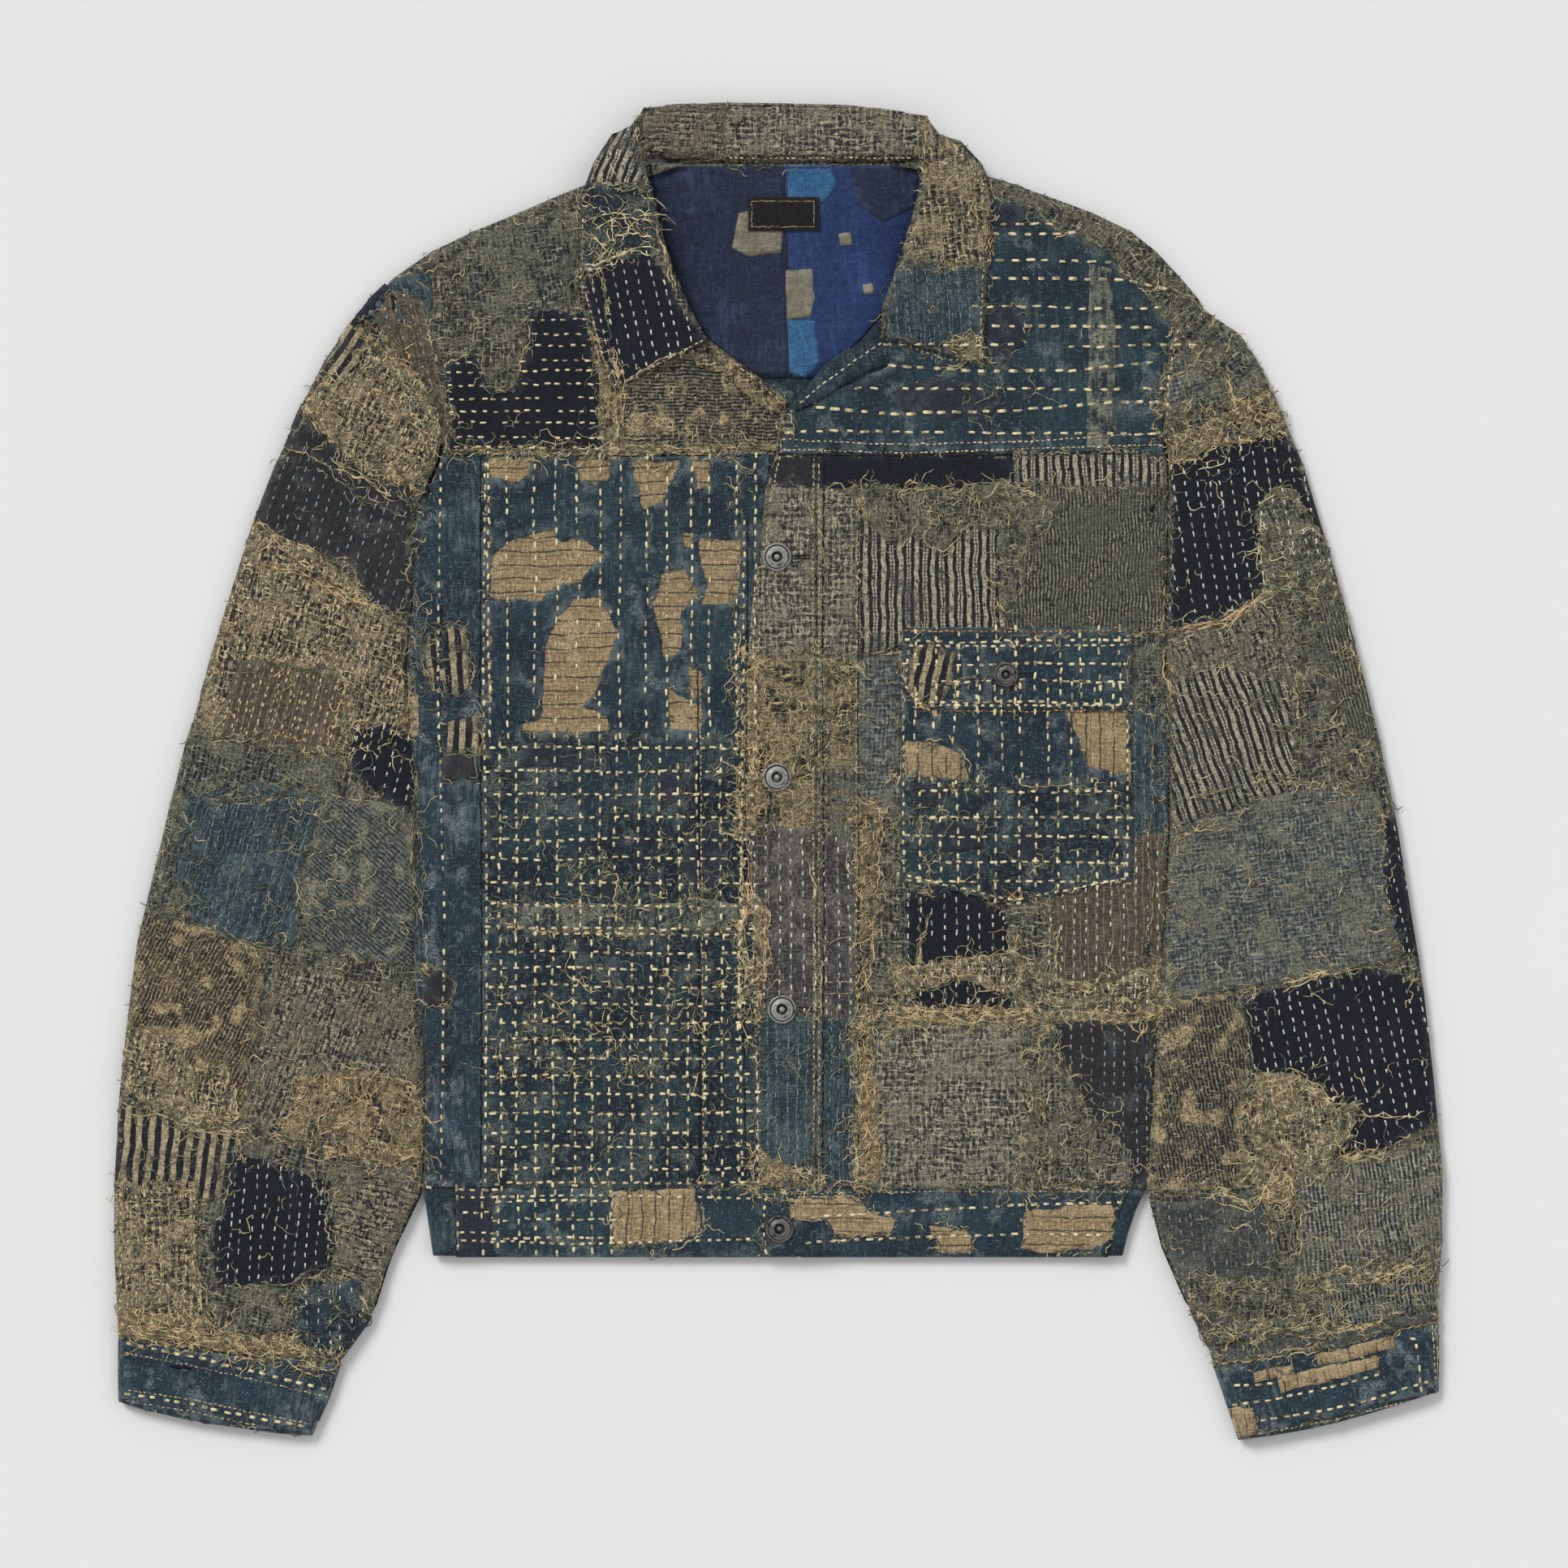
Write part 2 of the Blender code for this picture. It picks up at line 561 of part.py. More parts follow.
def make_waistband():
    """The band's two front ends; the left one laps over the right one and carries the button."""
    rows = BAND_ROWS
    upper, lower = sheet_rows(rows, lambda y: side_seam(y, -1.0), lambda y: along(UNDERLAP_EDGE, y),
                              even(10), right_under, WALL)
    wall("waistband_right", upper, lower, "navy")
    upper, lower = sheet_rows(rows, lambda y: along(FRONT_EDGE, y) - 1.5, lambda y: side_seam(y, 1.0),
                              even(10), left_under, WALL)
    wall("waistband_left", upper, lower, "indigo")


def make_collar():
    """A folded band: the stand climbs from the neck seam to the fold, and the fall comes down beyond it."""
    sections = []
    for sx, sy, sz, fx, fy, fz, ex, ey, on_front in COLLAR:
        seam_floor = front_top(sx, sy) if on_front else NECK_LIFT
        edge_floor = front_top(ex, ey) + COLLAR_LAY if on_front else NAPE_FLOOR
        seam_point = np.array((sx, sy, seam_floor + sz))
        fold_point = np.array((fx, fy, fz))
        edge_point = np.array((ex, ey, edge_floor + COLLAR_WALL / 2))
        out = (edge_point - fold_point)[:2] / np.linalg.norm((edge_point - fold_point)[:2])
        section = [seam_point, (seam_point + fold_point) / 2, fold_point - np.array((0, 0, ROLL_TURN))]
        section.append(fold_point + ROLL_TURN * np.array((out[0], out[1], 0.0)))
        for share in FALL_SHARES:
            spot = fold_point + (edge_point - fold_point) * share
            drop = (fold_point[2] - edge_point[2]) * (1 - share) ** (LEAF_CURVE if on_front else NAPE_CURVE)
            spot[2] = edge_point[2] + drop
            if on_front:
                spot[2] = max(spot[2], front_top(spot[0], spot[1]) + COLLAR_LAY + COLLAR_WALL / 2)
            section.append(spot)
        sections.append(section)
    middle = np.array(sections)
    along_rows = np.gradient(middle, axis=0)
    along_columns = np.gradient(middle, axis=1)
    normal = np.cross(along_rows, along_columns)
    normal /= np.linalg.norm(normal, axis=2, keepdims=True)
    wall("collar", middle + normal * COLLAR_WALL / 2, middle - normal * COLLAR_WALL / 2, "olive")


def make_neck_bands():
    bands = (("neck_band_right", BAND_RIGHT, "olive"), ("neck_band_left", BAND_LEFT, "indigo"))
    for name, table, colour in bands:
        upper, lower = [], []
        for x0, y0, x1, y1 in table:
            spots = [(x0 + (x1 - x0) * share, y0 + (y1 - y0) * share) for share in (0.0, 0.5, 1.0)]
            lower.append([(x, y, front_top(x, y) + LAY) for x, y in spots])
            upper.append([(x, y, front_top(x, y) + LAY + TRIM) for x, y in spots])
        wall(name, np.array(upper), np.array(lower), colour)


def pocket_under(x, y):
    return front_top(x, y) + LAY


def flap_under(x, y):
    top_edge, over = FLAP[0][0], POCKET[0][0] + 1.0
    return pocket_under(x, y) + (TRIM + LAY) * (1.0 - smooth(y, over, top_edge - 2.0))


def make_pocket():
    upper, lower = [], []
    shares = even(8)
    for y, x0, x1 in POCKET:
        xs = [x0 + (x1 - x0) * share for share in shares]
        lower.append([(x, y, pocket_under(x, y)) for x in xs])
        upper.append([(x, y, pocket_under(x, y) + TRIM) for x in xs])
    point_x, point_y = POCKET_POINT
    base_y, x0, x1 = POCKET[-1]
    xs = [x0 + (x1 - x0) * share for share in shares]
    last = []
    hem_y = base_y - POCKET_HEM
    for x in xs:
        reach = 1.0 - abs(x - point_x) / (x1 - point_x)
        last.append((x, hem_y + (point_y - hem_y) * max(reach, 0.0)))
    lower.append([(x, y, pocket_under(x, y)) for x, y in last])
    upper.append([(x, y, pocket_under(x, y) + TRIM) for x, y in last])
    wall("pocket", np.array(upper), np.array(lower), "indigo")
    rows = [row[0] for row in FLAP]
    upper, lower = sheet_rows(rows, lambda y: along(FLAP, y, 1), lambda y: along(FLAP, y, 2),
                              even(8), flap_under, TRIM)
    wall("pocket_flap", upper, lower, "navy")


def lining_under(x, y):
    return WALL + LAY + nape_lift(x, y)


def make_lining():
    rows = [LINING_TOP] + [y for y in YOKE_ROWS if y > LINING_SEAM[-1][0]]
    right_edge = ((NAPE, NAPE_EDGES[0] - LINING_INSET),) + NECK_RIGHT
    left_edge = ((NAPE, NAPE_EDGES[1] + LINING_INSET),) + NECK_LEFT

    upper, lower = sheet_rows(rows, lambda y: along(right_edge, y) + LINING_INSET,
                              lambda y: along(LINING_SEAM, y) - SEAM / 2,
                              even(4), lining_under, LINING_WALL)
    wall("lining_right", upper, lower, "purple")
    upper, lower = sheet_rows(rows, lambda y: along(LINING_SEAM, y) + SEAM / 2,
                              lambda y: along(left_edge, y) - LINING_INSET,
                              even(4), lining_under, LINING_WALL)
    wall("lining_left", upper, lower, "ultramarine")


def label_under(x, y):
    return lining_under(x, y) + LINING_WALL + SEAM


def make_label():
    low_x, high_x, low_y, high_y = LABEL
    rows = [high_y, (high_y + low_y) / 2, low_y]
    upper, lower = sheet_rows(rows, lambda y: low_x, lambda y: high_x, even(3), label_under, LABEL_WALL)
    wall("label", upper, lower, "black")


def button_floor(name, x, y, radius):
    """Highest point of the cloth under a button."""
    reach = BUTTON_CONTACT * radius
    turns = np.linspace(0.0, 2.0 * math.pi, 9)
    spots = [(x + reach * math.cos(turn), y + reach * math.sin(turn)) for turn in turns] + [(x, y)]
    if name == "button_flap":
        return max(flap_under(*spot) + TRIM for spot in spots)
    return max(left_under(*spot) + WALL for spot in spots)


def make_buttons():
    for name, x, y, diameter in BUTTONS:
        radius = diameter / 2.0
        floor = button_floor(name, x, y, radius) + LAY
        points = [(x, y, floor)]
        rings = []
        for share, high in BUTTON_PROFILE[1:-1]:
            rings.append(len(points))
            for i in range(BUTTON_SIDES):
                angle = 2.0 * math.pi * i / BUTTON_SIDES
                around_x = radius * share * math.cos(angle)
                around_y = radius * share * math.sin(angle)
                points.append((x + around_x, y + around_y, floor + high))
        points.append((x, y, floor + BUTTON_PROFILE[-1][1]))
        faces = []
        for i in range(BUTTON_SIDES):
            j = (i + 1) % BUTTON_SIDES
            faces.append((0, rings[0] + j, rings[0] + i))
            faces.append((len(points) - 1, rings[-1] + i, rings[-1] + j))
            for a, b in zip(rings, rings[1:]):
                faces.append((a + i, a + j, b + j, b + i))
        add_piece(name, points, faces, "old_brass" if name in ("button_waist", "button_flap") else "nickel")


def place_pieces():
    """Centres the jacket on the origin, stands it on the floor and makes one object for each piece."""
    everything = np.concatenate([points for _, points, _, _ in PENDING])
    low, high = everything.min(axis=0), everything.max(axis=0)
    shift = np.array((-(low[0] + high[0]) / 2, -(low[1] + high[1]) / 2, -low[2]))
    for name, points, faces, colour in PENDING:
        mesh = bpy.data.meshes.new(name)
        mesh.from_pydata([tuple(point) for point in (points + shift) * MM], [], faces)
        work = bmesh.new()
        work.from_mesh(mesh)
        bmesh.ops.recalc_face_normals(work, faces=work.faces)
        bmesh.ops.triangulate(work, faces=work.faces)
        work.to_mesh(mesh)
        work.free()
        mesh.materials.append(material(colour))
        piece = bpy.data.objects.new(name, mesh)
        bpy.context.scene.collection.objects.link(piece)
        mesh.shade_smooth()
        mesh.set_sharp_from_angle(angle=math.radians(40.0))


def main():
    clear_scene()
    make_back()
    make_fronts()
    make_yokes()
    make_sleeves()
    make_waistband()
    make_collar()
    make_neck_bands()
    make_pocket()
    make_lining()
    make_label()
    make_buttons()
    place_pieces()


main()
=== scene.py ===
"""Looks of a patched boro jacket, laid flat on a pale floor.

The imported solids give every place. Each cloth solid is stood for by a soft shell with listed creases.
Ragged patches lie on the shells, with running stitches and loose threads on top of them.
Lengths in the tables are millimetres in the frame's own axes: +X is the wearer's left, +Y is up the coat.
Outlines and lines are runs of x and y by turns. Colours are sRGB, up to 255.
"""

import functools
import json
import math
from collections import namedtuple

import bpy
import numpy as np
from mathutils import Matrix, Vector, geometry
from mathutils.bvhtree import BVHTree

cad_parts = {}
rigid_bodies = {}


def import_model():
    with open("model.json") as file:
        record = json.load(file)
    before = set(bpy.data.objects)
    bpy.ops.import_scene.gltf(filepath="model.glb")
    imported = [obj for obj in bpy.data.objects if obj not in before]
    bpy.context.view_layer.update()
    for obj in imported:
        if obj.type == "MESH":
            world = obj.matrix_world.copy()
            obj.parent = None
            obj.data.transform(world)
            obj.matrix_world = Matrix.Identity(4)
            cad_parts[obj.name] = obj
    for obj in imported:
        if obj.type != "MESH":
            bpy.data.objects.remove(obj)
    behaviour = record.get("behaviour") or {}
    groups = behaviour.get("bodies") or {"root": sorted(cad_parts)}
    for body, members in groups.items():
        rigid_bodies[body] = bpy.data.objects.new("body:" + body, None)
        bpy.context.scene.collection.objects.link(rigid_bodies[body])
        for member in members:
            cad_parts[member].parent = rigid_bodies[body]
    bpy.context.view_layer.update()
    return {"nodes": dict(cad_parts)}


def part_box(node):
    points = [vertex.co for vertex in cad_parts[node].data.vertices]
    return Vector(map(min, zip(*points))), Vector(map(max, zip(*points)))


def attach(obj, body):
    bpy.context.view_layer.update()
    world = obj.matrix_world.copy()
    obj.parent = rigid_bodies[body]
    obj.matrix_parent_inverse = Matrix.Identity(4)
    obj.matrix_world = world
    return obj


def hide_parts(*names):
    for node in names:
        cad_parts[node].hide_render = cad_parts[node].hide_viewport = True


MM = 0.001
UP = np.array((0.0, 0.0, 1.0))


def box(x0, y0, x1, y1):
    """The outline of a level rectangle from two opposite corners."""
    return (x0, y0, x1, y0, x1, y1, x0, y1)


# ---------------------------------------------------------------- cloths and threads

INDIGO_TEAL = (46, 72, 82)
Cloth = namedtuple("Cloth", "pattern ground shade light flecks tangle wear second period share",
                   defaults=(None, 0, 0))
# pattern, ground, shade, light, flecks, tangle of loose yarn, wear, second colour, period, its share
CLOTHS = {
    "indigo": ("plain", (37, 59, 73), (28, 40, 51), (124, 138, 140), 0.25, 0.04, 0.3),
    "indigo_faded": ("plain", (50, 69, 82), (28, 40, 51), (132, 148, 154), 0.25, 0.04, 0.5),
    "indigo_dark": ("plain", (33, 51, 64), (20, 28, 39), (112, 124, 120), 0.4, 0.16, 0.34),
    "faded_band": ("rib", (50, 66, 74), (28, 40, 51), (164, 166, 142), 0.4, 0.25, 0.36, (106, 118, 114),
                   5.0, 0.3),
    "navy": ("plain", (24, 30, 42), (12, 16, 26), (60, 66, 78), 0.18, 0.0, 0.14),
    "twill": ("twill", (34, 39, 51), (17, 21, 30), (82, 88, 96), 0.2, 0.05, 0.2, (58, 66, 80), 2.0, 0.5),
    "charcoal": ("plain", (51, 52, 55), (34, 34, 38), (92, 93, 92), 0.2, 0.05, 0.2),
    "grey": ("lines", (80, 83, 80), (52, 56, 55), (120, 122, 112), 0.35, 0.2, 0.2,
             (116, 122, 116), 6.0, 0.1),
    "teal": ("lines", (58, 78, 87), (38, 53, 60), (104, 122, 124), 0.45, 0.22, 0.4,
             (124, 140, 140), 5.5, 0.12),
    "tweed": ("net", (106, 105, 98), (41, 42, 42), (172, 168, 142), 0.82, 0.3, 0.25, (140, 137, 118), 3.4,
              0.52),
    "tweed_blue": ("net", (90, 99, 101), (40, 47, 51), (172, 168, 142), 0.78, 0.3, 0.25, (130, 136, 128),
                   3.2, 0.5),
    "tan_gauze": ("net", (133, 126, 107), (42, 44, 47), (224, 203, 160), 0.86, 0.3, 0.3, (192, 178, 144),
                  4.4, 0.54),
    "tan_fray": ("net", (108, 101, 82), (38, 39, 41), (220, 194, 146), 0.9, 0.5, 0.3, (180, 160, 122), 4.6,
                 0.58),
    "brown": ("lines", (104, 92, 77), (70, 60, 49), (138, 126, 108), 0.22, 0.05, 0.2, (176, 168, 148), 4.6,
              0.12),
    "khaki": ("plaid", (188, 166, 126), (148, 127, 94), (214, 190, 148), 0.25, 0.05, 0.3, (74, 70, 64), 8.2,
              0.1),
    "stripe": ("stripe", (36, 40, 48), (16, 19, 27), (70, 72, 72), 0.3, 0.15, 0.15, (214, 206, 176), 10.0,
               0.27),
    "stripe_bold": ("bars", (38, 42, 50), (16, 19, 27), (70, 70, 68), 0.3, 0.1, 0.2,
                    (204, 188, 150), 7.2, 0.5),
    "stripe_rough": ("stripe", (70, 68, 64), (16, 19, 27), (158, 149, 126), 0.8, 0.4, 0.2, (228, 216, 182),
                     7.0, 0.38),
    "fine_stripe": ("rib", (58, 58, 52), (42, 43, 40), (98, 98, 88), 0.5, 0.25, 0.25, (166, 162, 138), 2.1,
                    0.44),
    "pale_stripe": ("rib", (82, 89, 90), (44, 51, 54), (172, 168, 142), 0.6, 0.3, 0.2, (208, 206, 186), 2.6,
                    0.44),
    "check": ("check", (84, 87, 83), (44, 51, 54), (190, 182, 156), 0.7, 0.2, 0.25,
              (210, 202, 172), 3.7, 0.44),
    "fine_check": ("check", (90, 102, 108), (54, 63, 68), (172, 168, 142), 0.6, 0.3, 0.25, (158, 164, 154),
                   2.6, 0.42),
    "rib": ("rib", (40, 41, 40), (21, 22, 24), (222, 198, 150), 0.45, 0.15, 0.15,
            (134, 131, 114), 2.1, 0.48),
    "rib_brown": ("rib", (55, 49, 43), (32, 29, 27), (222, 198, 150), 0.45, 0.12, 0.15, (152, 139, 112),
                  2.2, 0.46),
    "rib_blue": ("rib", (62, 71, 76), (40, 47, 52), (172, 168, 142), 0.45, 0.2, 0.2, (124, 129, 121), 2.3,
                 0.48),
    "olive": ("net", (96, 88, 73), (40, 38, 36), (222, 198, 150), 0.85, 0.5, 0.2,
              (150, 137, 107), 5.0, 0.54),
    "navy_rib": ("rib", (38, 43, 54), (16, 19, 27), (150, 152, 140), 0.4, 0.12, 0.15, (166, 170, 162), 2.4,
                 0.44),
    "plum": ("lines", (90, 87, 86), (52, 50, 50), (140, 134, 124), 0.4, 0.25, 0.2,
             (150, 152, 150), 7.0, 0.1),
    "lining_navy": ("plain", (45, 54, 74), (28, 33, 54), (66, 78, 110), 0.06, 0, 0.5),
    "lining_blue": ("plain", (44, 63, 104), (30, 44, 88), (66, 92, 146), 0.06, 0, 0.5),
    "lining_teal": ("plain", (56, 104, 146), (40, 76, 114), (76, 124, 160), 0.06, 0, 0.5),
    "lining_beige": ("plain", (132, 127, 110), (104, 99, 85), (156, 150, 130), 0.06, 0, 0.4),
    "label": ("plain", (32, 30, 29), (19, 18, 18), (48, 46, 43), 0.1, 0, 0.05),
}

THREAD_COLOURS = {
    "sand": (211, 191, 147), "peach": (221, 188, 143), "olive": (152, 149, 118), "moss": (124, 128, 108),
    "grey": (104, 112, 108), "blue": (66, 82, 94), "cream": (240, 224, 180), "pale": (216, 218, 200),
    "mist": (152, 166, 170), "orange": (222, 164, 96), "dark": (26, 28, 33),
}
# direction against the warp in degrees, spacing, pitch, stitch length, thickness, thread
ROWS = {
    "plain": (),
    "down": ((90, 13.2, 6.6, 4.2, 1.4, "cream"),),
    "down_fine": ((90, 6.6, 6.0, 3.1, 0.9, "pale"),),
    "down_pale": ((90, 7.0, 6.2, 3.4, 1.0, "pale"),),
    "down_mist": ((90, 6.4, 6.0, 3.2, 0.85, "mist"),),
    "hair": ((90, 6.0, 4.6, 3.6, 0.5, "mist"),),
    "across": ((0, 7.6, 6.4, 3.6, 1.3, "cream"),),
    "bold_across": ((0, 25.0, 9.0, 5.2, 1.6, "cream"),),
    "grid": ((90, 11.8, 7.2, 4.1, 1.5, "cream"), (0, 13.0, 6.5, 3.9, 1.55, "cream")),
    "close_grid": ((90, 11.0, 7.0, 4.0, 1.5, "cream"), (0, 10.6, 6.3, 3.8, 1.55, "cream")),
    "small": ((90, 7.4, 5.6, 2.4, 0.7, "sand"),),
    "gauze": ((90, 4.8, 5.2, 2.9, 1.15, "sand"),),
}

# ---------------------------------------------------------------- the cloth solids and what is laid on them

Shell = namedtuple("Shell", "cloth slot across along area under")
# cloth, slot, how far the cut reaches across and along and its area in metres, what it lies on
SHELLS = {
    "back": ("indigo", "back_cloth", 0.505, 0.515, 0.240, "floor"),
    "back_yoke": ("tweed", "back_cloth", 0.505, 0.100, 0.045, "back_cloth"),
    "front_right": ("indigo", "front_cloth", 0.190, 0.434, 0.080, "back_cloth"),
    "side_panel_right": ("indigo", "front_cloth", 0.036, 0.434, 0.0125, "back_cloth"),
    "front_left": ("tweed", "left_front_cloth", 0.208, 0.434, 0.088, "back_cloth"),
    "yoke_right": ("tweed", "yoke_right_cloth", 0.266, 0.162, 0.027, "back_cloth"),
    "yoke_left": ("indigo", "yoke_left_cloth", 0.256, 0.162, 0.028, "back_cloth"),
    "placket": ("check", "placket_cloth", 0.042, 0.434, 0.0172, "front_right_cloth"),
    "sleeve_right": ("tweed", "sleeve_cloth", 0.370, 0.615, 0.168, "floor"),
    "sleeve_left": ("tweed", "sleeve_cloth", 0.345, 0.605, 0.155, "floor"),
    "cuff_right": ("indigo", "cuff_cloth", 0.256, 0.046, 0.0117, "floor"),
    "cuff_left": ("indigo", "cuff_cloth", 0.270, 0.056, 0.0150, "floor"),
    "collar": ("tweed", "collar_cloth", 0.460, 0.080, 0.031, "yoke_left_cloth"),
    "neck_band_right": ("olive", "collar_cloth", 0.060, 0.015, 0.00085, "back_cloth"),
    "neck_band_left": ("indigo", "collar_cloth", 0.062, 0.017, 0.00100, "yoke_left_cloth"),
    "waistband_right": ("indigo", "waistband_cloth", 0.206, 0.043, 0.0088, "waistband_back_cloth"),
    "waistband_left": ("indigo", "waistband_cloth", 0.222, 0.043, 0.0094, "waistband_back_cloth"),
    "waistband_back": ("indigo", "waistband_cloth", 0.432, 0.046, 0.0195, "floor"),
    "pocket": ("indigo", "pocket_cloth", 0.138, 0.148, 0.0200, "front_left_cloth"),
    "pocket_flap": ("indigo", "pocket_cloth", 0.137, 0.051, 0.0069, "pocket_cloth"),
    "lining_right": ("lining_navy", "lining_navy", 0.088, 0.126, 0.0083, "back_yoke_cloth"),
    "lining_left": ("lining_blue", "lining_blue", 0.090, 0.126, 0.0082, "back_yoke_cloth"),
    "label": ("label", "label_cloth", 0.042, 0.022, 0.00092, "lining_left_cloth"),
}
SHELLS = {node: Shell(*row) for node, row in SHELLS.items()}
# the regions that take in other nodes than the one they are named after
REGION_NODES = {
    "body": ("back", "back_yoke", "front_right", "side_panel_right", "front_left", "yoke_right",
             "yoke_left"),
    "band": ("waistband_right", "waistband_left"),
    "lining": ("lining_right", "lining_left"),
    "armhole_right": ("back_yoke", "yoke_right", "front_right", "side_panel_right", "back", "sleeve_right"),
    "armhole_left": ("back_yoke", "yoke_left", "front_left", "back", "sleeve_left"),
    "under_body": ("back", "back_yoke"),
    "under_sleeve_right": ("sleeve_right",),
    "under_sleeve_left": ("sleeve_left",),
}

CHEST_PATCH = (-173, 187, -6, 187, -13, 90, -13, 20, -173, 20)
